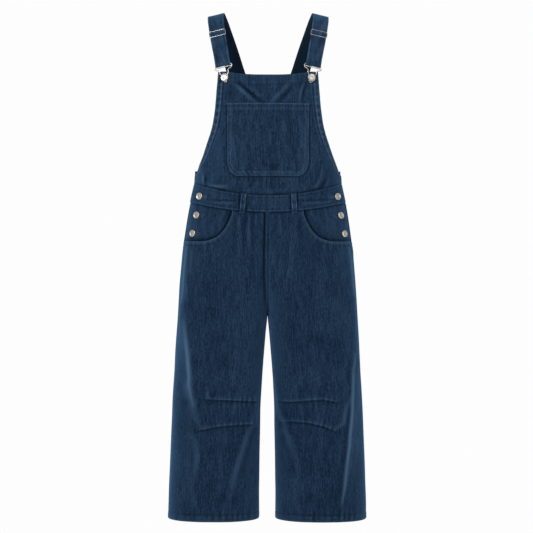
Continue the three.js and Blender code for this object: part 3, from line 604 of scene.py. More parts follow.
def stitch_mesh(name, group):
    """Every stitch of a group: three rings of five points round its line, with the end rings small and
    sunk into the cloth."""
    centre, along, normal, sizes = (np.concatenate(parts) for parts in zip(*stitches[group]))
    across = np.cross(along, normal)
    angles = np.arange(5) * 2 * math.pi / 5 + 0.3
    rings = np.array([(-0.5, 0.45, -0.8), (0, 1, 0), (0.5, 0.45, -0.8)])
    long = sizes[:, 0, None, None, None]
    radius = sizes[:, 1, None, None, None]
    shape = (len(centre), 3, 5, 1)
    at = np.broadcast_to(rings[None, :, 0, None, None], shape) * long
    thick = np.broadcast_to(rings[None, :, 1, None, None], shape) * radius
    sunk = np.broadcast_to(rings[None, :, 2, None, None], shape) * radius
    cos, sin = (f(angles)[None, None, :, None] for f in (np.cos, np.sin))
    centre, along, across, normal = (v[:, None, None, :] for v in (centre, along, across, normal))
    points = (centre + at * along + thick * cos * across + (thick * sin + sunk) * normal).reshape(-1, 3)
    first = (np.arange(len(centre)) * 15)[:, None]
    sides = []
    for ring in (0, 5):
        for j in range(5):
            k = (j + 1) % 5
            sides.append(first + np.array([[ring + j, ring + k, ring + 5 + k, ring + 5 + j]]))
    ends = [first + np.array([[4, 3, 2, 1, 0]]), first + np.array([[10, 11, 12, 13, 14]])]
    return make_mesh(name, points, facing_out(points, [np.concatenate(sides), np.concatenate(ends)]))


def sew(group, side, half, turn, z, lift, relief, pitch=3.2, long=2.4, radius=0.38):
    """A run of stitches on a panel's face, through dense places given by turn and z."""
    side, turn, z = np.broadcast_arrays(np.asarray(side, float), turn, z)
    form = form_point(side, half, turn, z)
    out = fold_height(half, form[:, 0], form[:, 2]) + lift
    height, _ = relief(spot(form[:, 0], form[:, 2]))
    normal = form_normal(side, half, turn, z)
    add_stitches(group, form + normal * (out + height)[:, None], normal, pitch, long, radius)


def sew_line(group, half, line, lift, relief, **size):
    """A run of stitches along a line of x and z."""
    line = np.asarray(line, float)
    run = np.concatenate([[0], np.cumsum(np.hypot(*np.diff(line, axis=0).T))])
    where = np.linspace(0, run[-1], max(int(run[-1] / 0.8), 2))
    x, z = np.interp(where, run, line[:, 0]), np.interp(where, run, line[:, 1])
    sew(group, np.where(x < 0, -1, 1), half, turn_at(x, z, half), z, lift, relief, **size)


# Legs


TUCKS = {
    -1: [
        [(-164, -994.6), (-153.5, -995.3), (-114.9, -997), (-74.5, -999.2), (-39.1, -1001.8), (-30, -1002.4)],
        [(-176, -1076), (-167.4, -1073.5), (-142.9, -1067.9), (-117.5, -1063.4), (-82.1, -1061),
         (-40, -1060)],
    ],
    1: [
        [(30, -1001.5), (50.3, -1003), (93.2, -998.8), (138.8, -995.2), (173.5, -1001.4), (180, -1003)],
        [(32, -1053.4), (68, -1052.6), (100.8, -1053.9), (143.9, -1063.4), (166.9, -1073.5), (175, -1078)],
    ],
}
# Creases of the front: half width and height, which is negative in a trough, then the line in x and z.
LEG_CREASES = {
    -1: [
        (5, 1.2, [(-206.6, -600), (-204.5, -645), (-205.3, -700), (-202.2, -748)]),
        (9, 1.3, [(-224, -743), (-215, -822), (-200, -880), (-194, -956), (-196, -984), (-185, -1031),
                  (-177, -1057)]),
        (8, 0.8, [(-186, -1090), (-179, -1149), (-189, -1210), (-189, -1256)]),
        (8, -0.6, [(-172, -1086), (-166, -1140), (-173, -1205), (-172, -1250)]),
        (9, 1.1, [(-17.6, -962), (-31.5, -994), (-41.7, -1032), (-51.8, -1079), (-69.5, -1132),
                  (-85.7, -1187), (-101.2, -1245)]),
        (8, -1.1, [(-30, -1030), (-36, -1085), (-52, -1140), (-67, -1190), (-82, -1240)]),
        (4, 0.9, [(-151.7, -968), (-153, -993)]),
        (5, 0.9, [(-46, -522), (-48, -560), (-46, -612)]),
        (5, -0.9, [(-58, -522), (-61, -570), (-60, -620)]),
        (4, 0.8, [(-73, -526), (-74, -566)]),
        (4, 0.7, [(-30, -522), (-31, -556)]),
        (5, -0.4, [(-120, -1010), (-112, -1050)]),
        (5, 0.4, [(-84, -1008), (-90, -1052)]),
    ],
    1: [
        (6, 1.0, [(222.8, -743), (226.9, -823), (224.7, -920), (221.6, -1042), (215.4, -1103), (207.5, -1166),
                  (195.2, -1224), (187.5, -1266)]),
        (7, -1.0, [(208, -900), (207, -1000), (203, -1060), (196, -1130), (184, -1200)]),
        (8, 0.8, [(17.3, -956), (32.6, -1015), (50.3, -1072), (70.5, -1116), (78, -1160)]),
        (8, -0.7, [(22, -1030), (38, -1085), (58, -1140), (64, -1190)]),
        (6, 0.7, [(175.6, -1069.6), (195.2, -1054.7), (200.4, -1015), (216.3, -977.8)]),
        (5, 1.2, [(214.9, -596), (224.1, -630)]),
        (5, 0.8, [(30, -522), (33, -570)]),
        (5, -0.8, [(78, -524), (80, -580)]),
        (5, 1.2, [(213.5, -681.7), (209.1, -702.1), (221.7, -717.7)]),
        (5, -0.4, [(118, -1006), (112, -1046)]),
        (5, 0.4, [(84, -1006), (90, -1048)]),
    ],
}
# Painted sheen highlights along the creases: half width and strength, then the line.
LEG_SHEEN = {
    -1: [
        (4, 1.7, [(-203, -597), (-207, -622), (-212, -662), (-216, -704), (-221, -760)]),
        (4, 0.8, [(-196, -604), (-196, -640), (-197, -676)]),
        (9, 0.6, [(-216, -752), (-209, -822), (-202, -880), (-196, -956), (-193, -984), (-184, -1031),
                  (-172, -1066)]),
        (4, 1.5, [(-211, -800), (-203, -868), (-197, -940), (-194, -978), (-188, -1012)]),
        (8, 0.4, [(-181, -1080), (-176, -1130), (-176, -1180)]),
        (7, 0.5, [(-46, -1052), (-60, -1105), (-77, -1160), (-92, -1214)]),
        (3, 1.4, [(-231, -690), (-240, -900), (-245, -1010), (-249, -1120), (-251, -1240)]),
    ],
    1: [
        (5, 1.2, [(204, -597), (212, -640), (218, -700), (222, -760)]),
        (7, 0.4, [(223, -743), (222, -823), (219, -900), (216, -960), (214.5, -1030), (210, -1090),
                  (203, -1150), (194.5, -1220), (187, -1272)]),
        (3.0, 1.9, [(219, -880), (216, -925), (214.5, -1000), (213, -1034), (208.5, -1090), (203, -1143),
                    (194, -1226), (189, -1256)]),
        (6, 0.5, [(172, -1070), (192, -1056), (203, -1020), (211, -990)]),
        (8, 0.3, [(40, -1060), (54, -1100), (66, -1150)]),
        (3, 1.1, [(231, -690), (243, -920), (248, -1040), (251, -1150), (254, -1250)]),
    ],
}
BACK_CREASES = [
    (6, -2, [(18, -776), (60, -812), (120, -842), (170, -862)]),
    (6, 1.8, [(24, -796), (70, -836), (128, -868)]),
    (6, 2, [(150, -890), (146, -980), (152, -1090)]),
    (7, -1.8, [(96, -900), (92, -1010), (104, -1120)]),
    (6, 2, [(70, -980), (82, -1100), (92, -1220)]),
    (7, -1.6, [(190, -1000), (186, -1120), (178, -1230)]),
    (6, -1.8, [(60, -1010), (110, -1022), (160, -1016)]),
    (8, 1.5, [(120, -560), (128, -660), (120, -740)]),
]
HEM_DEEP = 17.0                # from the leg's edge up to the line of stitches
# The mock fly: its fold edge and its two pressed lines of stitches.
FLY_SEAM = [(-6.9, -519), (-7.8, -590), (-8.3, -666), (-6.6, -722), (-5, -756), (-2.5, -778)]
FLY_STITCHES = [(47.5, -521.4), (47.4, -590.2), (46, -645.9), (38.4, -681.3), (22, -701.6), (4.3, -706.7),
                (-4.5, -706)]
FLY_STITCHES_INNER = [(53.5, -521.4), (53.4, -592), (51.5, -649), (42.8, -687), (24, -708), (4.3, -713.4),
                      (-4.5, -713)]


def scoop_line(side):
    """The pocket mouth as a dense smooth line, on one side."""
    points = np.array(SCOOP, float)
    return curve(points, 60) * np.array([side, 1])


def curve(points, count):
    """A smooth line through points: a centripetal cubic, at count places for each run."""
    points = np.asarray(points, float)
    ends = np.concatenate([[2 * points[0] - points[1]], points, [2 * points[-1] - points[-2]]])
    t = np.linspace(0, 1, count, endpoint=False)
    parts = []
    for i in range(len(points) - 1):
        a, b, c, d = ends[i:i + 4]
        steps = [max(np.linalg.norm(q - p) ** 0.5, 1e-4) for p, q in ((a, b), (b, c), (c, d))]
        out = ((b - a) / steps[0] - (c - a) / (steps[0] + steps[1]) + (c - b) / steps[1]) * steps[1]
        into = ((c - b) / steps[1] - (d - b) / (steps[1] + steps[2]) + (d - c) / steps[2]) * steps[1]
        w = t[:, None]
        parts.append((2 * w**3 - 3 * w**2 + 1) * b + (w**3 - 2 * w**2 + w) * out
                     + (3 * w**2 - 2 * w**3) * c + (w**3 - w**2) * into)
    return np.concatenate(parts + [points[-1:]])


def offset_line(line, away):
    """A line moved sideways by away, to its left as it runs."""
    steps = np.gradient(line, axis=0)
    steps /= np.linalg.norm(steps, axis=1, keepdims=True)
    return line + away * np.stack([-steps[:, 1], steps[:, 0]], -1)


def buttonhole_ends(at, side):
    """Painted highlights at the buttonholes' ends, beside the side buttons on their inner side."""
    light = np.zeros(np.shape(at.x))
    for z, right, left, _ in SIDE_BUTTONS:
        x = side * ((right if side < 0 else left) - 13.5)
        light += 2.4 * np.exp(-(((at.x - x) / 2.6) ** 2) - ((at.z - z + 1.5) / 2.2) ** 2)
    return light


def hem_band(at):
    """The turned-up hem stands out a little, with a groove at its stitches and puckers beside them."""
    band = 0.5 * (1 - smooth(HEM_DEEP - 1.5, HEM_DEEP + 1.5, at.bottom))
    groove = -0.5 * np.exp(-(((at.bottom - HEM_DEEP) / 1.4) ** 2))
    return band + groove + 0.55 * ripples(at.x, at.bottom - HEM_DEEP, 15, 9, 5)


def front_leg_relief(side):
    """Creases, tucks, hem, pocket mouth and fly of a front leg, with painted highlights and painted shade."""
    scoop = scoop_line(side)[::6]
    rows = [offset_line(scoop_line(side), -side * away)[::8] for away in (2.6, 8.8)]
    fly_edge = curve(FLY_SEAM, 8)

    def relief(at):
        x, z = at.x, at.z
        height = 0.7 * waves(x, z, 11, 120, 20, 2.6, 11)
        for wide, high, line in LEG_CREASES[side]:
            height = height + ridge(x, z, line, wide, high)
        # Painted sheen highlights along the creases.
        for wide, strength, line in LEG_SHEEN[side]:
            at.light += ridge(x, z, line, wide, strength)
        for line in TUCKS[side]:
            height = height + tuck(x, z, line, 1.0)
            # Painted shadow under the tuck's overhang.
            at.light += line_band(near_line(x, z, line)[2], -1.6, 2.0, -0.9)
            away, share, above = near_line(x, z, line)
            height = height + 0.5 * ripples(share * 140, above, 13, 11, 21) * smooth(0, 0.1, share)
        away, share, _ = near_line(x, z, scoop)
        height = height + 1.6 * np.exp(-((away / 13) ** 2)) * np.sin(math.pi * share) ** 0.5
        height = height + 0.35 * (1 - smooth(8, 10, away)) + 0.35 * ripples(share * 200, away - 9, 14, 7, 31)
        height = height + pressed(x, z, rows, 0.6)
        # Painted highlight along the pocket mouth's edge and painted shade under the waistband.
        at.light += line_band(away, 1.2, 1.6, 0.9) + line_band(at.top, 1.5, 3.0, -0.9) * (np.abs(x) < 88)
        # Painted highlight at the hem's fold and painted shade at its stitches.
        at.light += line_band(at.bottom, 1.5, 1.6, 0.7) + line_band(at.bottom, HEM_DEEP, 1.8, -0.5)
        # Painted highlight along the inseam's edge below the crotch.
        at.light += line_band(at.right, 2.0, 1.4, 0.6) * (z < CROTCH)
        # Painted shadow between the legs at the crotch.
        at.light += line_band(at.right, 0.0, 8.0, -2.2) * (1 - smooth(-762, -730, z)) * (z > CROTCH - 10)
        edges = rolled(at, ("left", "bottom"), 0.8, 1.2) + rolled(at, ("right",), 0.9, 1.6)
        edges = edges + rolled(at, ("top",), 0.7, 1.3)
        height = height + edges + hem_band(at) * smooth(0, 1, 60 - at.bottom)
        if side > 0:
            height = height + pressed(x, z, [FLY_STITCHES, FLY_STITCHES_INNER], 0.5)
        else:
            # Painted shadow beside the fly's fold edge, which laps over this leg.
            at.light += line_band(near_line(x, z, fly_edge)[0], 0.5, 3.6, -1.6) * (at.top > 1)
        flat = 1 - 0.5 * np.exp(-(((at.bottom - HEM_DEEP) / 1.6) ** 2))
        return height, flat

    return relief


def leg_rows(fine):
    """Levels down a leg: close together below the waist, at the tucks and at the hem."""
    steps = [-516, -517.2, -518.6, -520.4, -523, -527, -532]
    steps += list(np.arange(-540, -756, -9.0)) + list(np.arange(-757, -788, -5.0))
    steps += list(np.arange(-792, -980, -9.0))
    steps += list(np.arange(-980, -1092, -2.6 if fine else -10))
    steps += list(np.arange(-1094, -1276, -9.0))
    steps += [-1278, -1282, -1285.5, -1288, -1289.6, -1291, -1292.4, -1294, -1297, -1301, -1304.6, -1306.4,
              -1307.4, HEM]
    return np.unique(np.array(steps, float))[::-1]


def eased(row, top, first, level):
    """Rows between a slanting top edge and the level where they are straight again."""
    return np.where(row > level, top + (row - first) * (level - top) / (level - first), row)


def leg_top(half):
    """The turns and levels of a leg panel's top edge: the waist seam, and the pocket mouth in front."""
    turns = np.linspace(0, 1, 1201)
    seam = waist_edge(WAIST_BOTTOM, half, turns)
    if half == "back":
        return turns, seam
    scoop = scoop_line(1)
    levels = seam.copy()
    for _ in range(60):
        x = np.abs(form_point(1, half, turns, levels)[:, 0])
        cut = np.where(x > 90.3, np.interp(x, scoop[:, 0], scoop[:, 1]), 0)
        levels = levels + 0.6 * (np.minimum(seam, cut) - levels)
    return turns, levels


def leg_shell(side, half, relief):
    """A leg panel from the waist seam to the hem, where the cloth is doubled."""
    turns, levels = leg_top(half)
    ease = -700.0 if half == "front" else -640.0

    def place(u, row):
        top = np.interp(u, turns, levels)
        return side, u, eased(row, top, -516.0, ease)

    def cloth(at):
        return CLOTH + 1.3 * (1 - smooth(HEM_DEEP - 1, HEM_DEEP + 1, at.bottom))

    def grain(z):
        return 110 + 29 * (z + 516) / (HEM + 516)

    return cloth_shell(half, place, leg_rows(half == "front"), 0.0, relief, grain, cloth)


def back_leg_relief(side):
    """Creases and hem of a back leg, a little weaker on the left."""
    def relief(at):
        x, z = at.x, at.z
        height = 1.0 * waves(x, z, 11, 130, 26, 2.4, 15 if side < 0 else 16)
        for wide, high, line in BACK_CREASES:
            height = height + ridge(np.abs(x), z, line, wide, high * (1 if side < 0 else 0.85))
        edges = rolled(at, ("left", "bottom", "top"), 0.8, 1.2) + rolled(at, ("right",), 0.9, 1.6)
        height = height + edges + hem_band(at) * smooth(0, 1, 60 - at.bottom)
        height = height - 0.3 * np.exp(-(((at.right - 5) / 1.2) ** 2))
        return height, 1 - 0.5 * np.exp(-(((at.bottom - HEM_DEEP) / 1.6) ** 2))

    return relief


def sew_leg(side, half, relief):
    """The hem's stitches, the tucks', the pocket mouth's and those beside the back seam."""
    turns = np.linspace(0.01, 0.99, 500)

    def at_hem(at):
        return relief(spot(at.x, at.z, bottom=np.full(at.x.shape, HEM_DEEP)))

    def inset(at):
        return relief(spot(at.x, at.z))

    sew("legs", side, half, turns, np.full(500, HEM + HEM_DEEP), 0.35, at_hem)
    if half == "back":
        levels = np.linspace(-492, -770, 400)
        x = np.full(400, 5.0)
        sew("legs", side, half, turn_at(x, levels, half), levels, 0.35, inset)
        return
    for line in TUCKS[side]:
        above = offset_line(curve(line, 20), 2.6)
        sew_line("legs", half, above, 0.45, relief)
    for away in (2.6, 8.8):
        line = offset_line(scoop_line(side), -side * away)
        inside = line[(line[:, 1] < -521) & (np.abs(line[:, 0]) < 212)]
        sew_line("legs", half, inside, 0.35, relief)


def add_legs(side, word):
    """Front and back of one leg, with their stitches."""
    for half in ("front", "back"):
        relief = front_leg_relief(side) if half == "front" else back_leg_relief(side)
        shells = [leg_shell(side, half, relief)]
        if half == "front" and side > 0:
            shells.append(fly_strip(relief))
        name = f"{half}_leg_{word}"
        add_cloth(name, joined(shells), "corduroy")
        sew_leg(side, half, relief)


def fly_strip(relief):
    """The front's fold edge, which laps a little past the middle over the other leg."""
    line = curve(FLY_SEAM, 20)

    def place(u, row):
        edge = np.interp(-row, -line[:, 1], line[:, 0])
        x = edge + u * (9.0 - edge)
        return np.where(x < 0, -1, 1), turn_at(x, row, "front"), row + 0 * u

    def strip(at):
        height, _ = relief(spot(at.x, at.z))
        # Painted shade along the fold edge and, fainter, beside it.
        at.light += line_band(at.left, 0.0, 1.8, -1.6) + line_band(at.left, 6.0, 5.0, -0.35)
        height = height + rolled(at, ("left",), 0.8, 1.1) + 1.15 - 1.5 * smooth(4, 14, at.left)
        return height, np.ones(at.x.shape)

    rows = np.concatenate([[-517.0, -518.5, -521], np.arange(-527, -774, -9.0), [-776.0]])
    return cloth_shell("front", place, rows, 0.0, strip, 0.5, 1.2)


# Hips: the facings in the pocket mouths and the waistbands


def add_facing(side, word):
    """The cloth in the pocket mouth, which carries the side opening's buttons."""
    inner_turn = float(turn_at(FACING["inner"], WAIST_BOTTOM["front"], "front"))
    placket = [(side * 168, -490), (side * 175, -540), (side * 180, -592)]
    mouth = scoop_line(side)[::6]

    def place(u, row):
        turn = u * inner_turn
        top = waist_edge(WAIST_BOTTOM, "front", turn)
        return side, turn, top + (row + 516) * (FACING["bottom"] - top) / (FACING["bottom"] + 516)

    def relief(at):
        height = 0.5 * waves(at.x, at.z, 8, 70, 18, 2, 33)
        height = height + pressed(at.x, at.z, [placket], 0.4)
        height = height + 0.4 * ripples(at.z, at.left - 24, 17, 14, 37)
        # Painted shadow inside the pocket mouth, under the front's edge.
        at.light += line_band(near_line(at.x, at.z, mouth)[0], 0.0, 7.0, -1.6)
        # Painted shade under the waistband.
        at.light += line_band(at.top, 0.0, 4.0, -0.7)
        # Painted highlights at the buttonholes' ends.
        at.light += buttonhole_ends(at, side)
        return height + rolled(at, ("left", "top"), 0.6, 1.4), np.ones(at.x.shape)

    rows = np.concatenate([[-516, -517.4, -519.5], np.arange(-523, -620, -6.0), [FACING["bottom"]]])
    parts = cloth_shell("front", place, rows, -FACING["depth"], relief, 0.0, FACING["cloth"])
    name = f"pocket_facing_{word}"
    add_cloth(name, parts, "corduroy")
    sew_line("legs", "front", placket, -FACING["depth"] + 0.35, relief)


WAIST_CREASES = [
    (2.6, -0.9, [(-152, -486), (-130, -488.5), (-100, -489.6), (-74, -489.4)]),
    (2.6, -0.8, [(72, -489.6), (98, -489.2), (130, -488), (163, -485.7)]),
    (3, 0.6, [(-150, -493), (-120, -495.5), (-84, -496)]),
    (3, 0.6, [(84, -496), (120, -494.6), (158, -492)]),
]


def add_waistband(half):
    """The curved band between the side openings, in front or behind."""
    def place(u, row):
        q = 2 * u - 1
        turn = 1 - np.abs(q)
        top = waist_edge(WAIST_TOP, half, turn)
        bottom = waist_edge(WAIST_BOTTOM, half, turn)
        return np.where(q < 0, -1, 1), turn, top + row * (bottom - top)

    def relief(at):
        height = 0.5 * waves(at.x, at.z, 9, 90, 20, 1.2, 51)
        if half == "front":
            for wide, high, line in WAIST_CREASES:
                height = height + ridge(at.x, at.z, line, wide, high)
        for edge in (at.top, at.bottom):
            height = height - 0.4 * np.exp(-(((edge - 2.8) / 1.1) ** 2))
            height = height + 0.3 * ripples(at.x, edge - 4, 16, 5, 53)
        height = height + rolled(at, ("top", "bottom"), 1.1, 1.1) + rolled(at, ("left", "right"), 0.9, 1.4)
        # Painted highlights near the edges and painted shade a little further in.
        at.light += line_band(at.top, 2.2, 1.7, 0.3) + line_band(at.bottom, 2.2, 1.7, 0.6)
        at.light += line_band(at.top, 6.5, 1.8, -0.35) + line_band(at.bottom, 6.5, 1.8, -0.35)
        # Painted shadow of each belt loop on the band beside it.
        for _, loop_half, side, high_x, low_x in BELT_LOOPS:
            away = np.abs(at.x - side * (high_x + low_x) / 2)
            at.light += line_band(away, 8.5, 2.4, -1.0) * (loop_half == half)
        # Painted highlights at the buttonholes' ends.
        if half == "front":
            at.light += buttonhole_ends(at, -1) + buttonhole_ends(at, 1)
        return height, np.ones(at.x.shape)

    rows = [0, 0.018, 0.045, 0.075, 0.11, 0.16, 0.22, 0.28, 0.34, 0.4, 0.48, 0.56, 0.64, 0.72, 0.79, 0.85,
            0.89, 0.925, 0.955, 0.982, 1]
    name = f"waistband_{half}"
    parts = cloth_shell(half, place, rows, 0.8, relief, 0.5, 3.0)
    add_cloth(name, parts, "corduroy_bib")
    q = np.linspace(-0.985, 0.985, 900)
    turn = 1 - np.abs(q)
    sides = np.where(q < 0, -1, 1)
    for edge, away in ((WAIST_TOP, -2.8), (WAIST_BOTTOM, 2.8)):
        sew("bib", sides, half, turn, waist_edge(edge, half, turn) + away, 1.0, relief)


# Bib, its pocket and the back panel


BIB_CREASES = [
    (5, -2.4, [(-78, -188), (-60, -204), (-42, -219), (-24, -234), (-12, -243)]),
    (6, 1.5, [(-84, -196), (-62, -214), (-44, -232)]),
    (7, 1.8, [(52, -192), (34.7, -212.3), (19.5, -227.7), (8, -240)]),
    (6, -1.3, [(66, -196), (48, -216), (30, -236)]),
    (4, -1.0, [(97.1, -188), (90.7, -211.3), (85.6, -238)]),
    (4, 1.2, [(92, -190), (84, -212), (80, -240)]),
    (4, -1.2, [(-157.5, -420), (-157.5, -444)]),
    (4, 1.4, [(-163, -424), (-165, -446)]),
    (3, -2.6, [(-156, -455), (-147, -458.5), (-130.9, -461), (-108, -462)]),
    (4, 1.6, [(-150, -450), (-128, -453), (-104, -454)]),
    (5, -1.6, [(150, -430), (138, -452), (118, -464)]),
    (6, 1.4, [(140, -400), (134, -430), (122, -456)]),
    (5, -0.5, [(60, -440), (30, -452), (4, -458)]),
    (5, -0.5, [(-30, -436), (-44, -452), (-60, -462)]),
]
BIB_SIDE_HEM = 16.5
BIB_TOP_HEM = 24.0
BIB_SEAM = [(-3.3, -428), (-3.3, -476)]


def upper_place(half, table, top_at, ease):
    """A panel above the waistband: u crosses it between its edges, and its last rows follow the
    waistband's top edge, its first rows the panel's own top."""
    def place(u, row):
        q = 2 * u - 1
        z = np.where(row > ease, ease + (row - ease) * (top_at(q) - ease) / (top_at(0 * q + 1) - ease), row)
        edge_turn = turn_at(np.minimum(read_table(table, z, 1), 199.9), z, half)
        turn = 1 - np.abs(q) * (1 - edge_turn)
        bottom = waist_edge(WAIST_TOP, half, turn)
        first = -415.0 if half == "front" else -405.0
        last = -480.0
        low = first + (row - first) * (bottom - first) / (last - first)
        return np.where(q < 0, -1, 1), turn, np.where(row < first, low, z)

    return place


def bib_top(q):
    """Level of the bib's top edge, which dips in the middle; q runs from -1 to 1 across."""
    return BIB_TOP["centre"] + BIB_TOP["dip"] * np.minimum(np.abs(q) / BIB_TOP["at"], 1) ** 2


def bib_relief(at):
    """The bib's hems, its middle seam, and the strains from its buttons and pocket, with painted highlights
    and painted shade.
    """
    x, z = at.x, at.z
    height = 0.8 * waves(x, z, 11, 100, 22, 1.8, 61)
    for wide, high, line in BIB_CREASES:
        height = height + ridge(x, z, line, wide, high)
    for edge in (at.left, at.right):
        height = height + 0.7 * (1 - smooth(BIB_SIDE_HEM - 1.5, BIB_SIDE_HEM + 1.5, edge))
        for away in (BIB_SIDE_HEM, 3.0):
            height = height - 0.4 * np.exp(-(((edge - away) / 1.2) ** 2))
        height = height + 0.75 * ripples(z, edge - 9, 17, 9, 63)
    height = height + 0.35 * (1 - smooth(BIB_TOP_HEM - 1.5, BIB_TOP_HEM + 1.5, at.top))
    for away in (BIB_TOP_HEM, 3.0):
        height = height - 0.4 * np.exp(-(((at.top - away) / 1.2) ** 2))
    height = height + pressed(x, z, [BIB_SEAM], 0.9, 1.3)
    # Painted highlights along the side hems' folds and stitch lines, with faint painted shade.
    for edge in (at.left, at.right):
        at.light += line_band(edge, 1.8, 1.4, 1.0) + line_band(edge, 13.5, 1.8, 1.2)
        at.light += line_band(edge, BIB_SIDE_HEM + 1.5, 1.8, -0.2) + line_band(edge, 22.5, 2.0, 0.5)
    # Painted highlight along the top edge.
    at.light += line_band(at.top, 1.8, 1.4, 0.6) + line_band(at.top, BIB_TOP_HEM, 2.0, -0.1)
    # Painted shade along the bottom, above the waistband.
    at.light += line_band(at.bottom, 0.0, 4.0, -0.9)
    # Painted shadow of the pocket's edge on the bib round it.
    away = near_line(x, z, pocket_outline(0.0))[0]
    at.light += line_band(away, 0.0, 3.6, -0.7) * (z < POCKET["top"])
    height = height + rolled(at, ("left", "right", "top"), 0.8, 1.3) + rolled(at, ("bottom",), 0.6, 2)
    return height, np.ones(x.shape)


def add_bib():
    """The bib, doubled at its top hem, with the stitches of its hems and middle seam."""
    place = upper_place("front", BIB_EDGE, bib_top, -212.0)
    first = BIB_TOP["centre"] + BIB_TOP["dip"]
    rows = np.concatenate([first - np.array([0, 1, 2.4, 4, 6, 9, 13, 16, 19, 22, 23.4, 25, 27, 30, 34]),
                           np.arange(-200, -474, -6.0), [-477, -480]])

    def cloth(at):
        return CLOTH + 1.2 * (1 - smooth(BIB_TOP_HEM - 1, BIB_TOP_HEM + 1, at.top))

    parts = cloth_shell("front", place, rows, 0.0, bib_relief, 0.5, cloth)
    add_cloth("bib", parts, "corduroy_bib")
    sew_panel_edges("front", place, bib_relief, first, -470.0, (3.0, BIB_SIDE_HEM), (3.0, BIB_TOP_HEM))
    for away in (-2.6, 2.6):
        sew_line("bib", "front", [(x + away, z) for x, z in BIB_SEAM], 0.35, bib_relief)


def sew_panel_edges(half, place, relief, top, bottom, side_rows, top_rows):
    """Runs of stitches beside a panel's edges: the side rows from top to bottom and the top rows across."""
    u = np.linspace(0, 1, 801)
    rows = np.linspace(top - 3, bottom, 260)
    for away in side_rows:
        for end in (0, 1):
            side, turn, z = place(u[None, :], rows[:, None])
            points = cloth_point(side, half, turn, z, 0)
            run = np.cumsum(np.linalg.norm(np.diff(points, axis=1), axis=-1), axis=1)
            run = np.concatenate([np.zeros((len(rows), 1)), run], 1)
            at_u = np.array([np.interp(away if end == 0 else line[-1] - away, line, u) for line in run])
            side, turn, z = place(at_u, rows)
            edges = {"left" if end == 0 else "right": np.full(len(rows), away)}
            sew("bib", side, half, turn, z, 0.35, lambda at: relief(spot(at.x, at.z, **edges)))
    for away in top_rows:
        across = np.linspace(0.03, 0.97, 500)
        side, turn, z = place(across, np.full(500, top))
        sew("bib", side, half, turn, z - away, 0.35,
            lambda at: relief(spot(at.x, at.z, top=np.full(at.x.shape, away))))


def pocket_half(z):
    """Half width of the bib pocket: straight sides and corners cut round like part of an ellipse."""
    corner = POCKET["bottom"] + POCKET["corner"]
    share = np.clip((corner - z) / POCKET["corner"], 0, 1)
    return POCKET["half"] - POCKET["cut"] * (1 - np.sqrt(np.maximum(1 - share * share, 0)))


POCKET_CREASES = [
    (8, 0.5, [(-60, -262), (-30, -300), (-22, -350)]),
    (8, -0.5, [(40, -258), (56, -300), (54, -352)]),
    (7, 0.5, [(78, -270), (84, -330), (78, -386)]),
    (7, -0.5, [(-84, -290), (-80, -350), (-70, -400)]),
    (6, -0.5, [(-20, -390), (10, -404), (44, -408)]),
]


def pocket_relief(at):
    """The bib pocket's gaping mouth, its hem and the pressed lines beside its edge, with painted highlights
    and painted shade.
    """
    x, z = at.x, at.z
    height, _ = bib_relief(spot(x, z))
    height = 0.7 * height + 0.5 * waves(x, z, 9, 60, 16, 1.3, 71)
    for wide, high, line in POCKET_CREASES:
        height = height + ridge(x, z, line, wide, high)
    mouth = POCKET["top"] - z
    height = height + 1.8 * np.exp(-((mouth / 26) ** 2)) * (1 - (x / POCKET["half"]) ** 2)
    height = height + 0.5 * (1 - smooth(17, 20, mouth))
    height = height - 0.45 * np.exp(-(((mouth - 18.5) / 1.2) ** 2))
    height = height - 0.3 * np.exp(-(((mouth - 3) / 1.2) ** 2))
    for inset in (2.8, 13.5):
        height = height + pressed(x, z, [pocket_outline(inset)], 0.4)
    away = near_line(x, z, pocket_outline(0.0))[0]
    # Painted highlights along the outline and the mouth, and painted shade under the mouth's hem.
    at.light += line_band(away, 1.6, 1.5, 0.8) + line_band(away, 10.5, 2.0, 0.4)
    at.light += line_band(mouth, 1.5, 1.8, 1.1) + line_band(mouth, 6.0, 2.5, -0.5)
    height = height + 0.4 * ripples(x + z, away - 8, 14, 7, 73)
    return height - 1.1 * np.exp(-((away / 1.5) ** 2)) + rolled(at, ("top",), 0.7, 1.2), np.ones(x.shape)


def pocket_outline(inset):
    """The pocket's sides and bottom as one line, from the upper right corner round to the upper left,
    moved in from the edge by inset."""
    corner = POCKET["bottom"] + POCKET["corner"]
    angle = np.linspace(0, math.pi / 2, 14)
    x = np.concatenate([np.full(14, POCKET["half"]), POCKET["half"] - POCKET["cut"] * (1 - np.cos(angle)),
                        [40, 0]])
    z = np.concatenate([np.linspace(POCKET["top"] - 1, corner, 15)[:-1],
                        corner - POCKET["corner"] * np.sin(angle), [POCKET["bottom"]] * 2])
    side = np.stack([x, z], -1)
    return offset_line(np.concatenate([side * (-1, 1), side[-2::-1]]), inset)


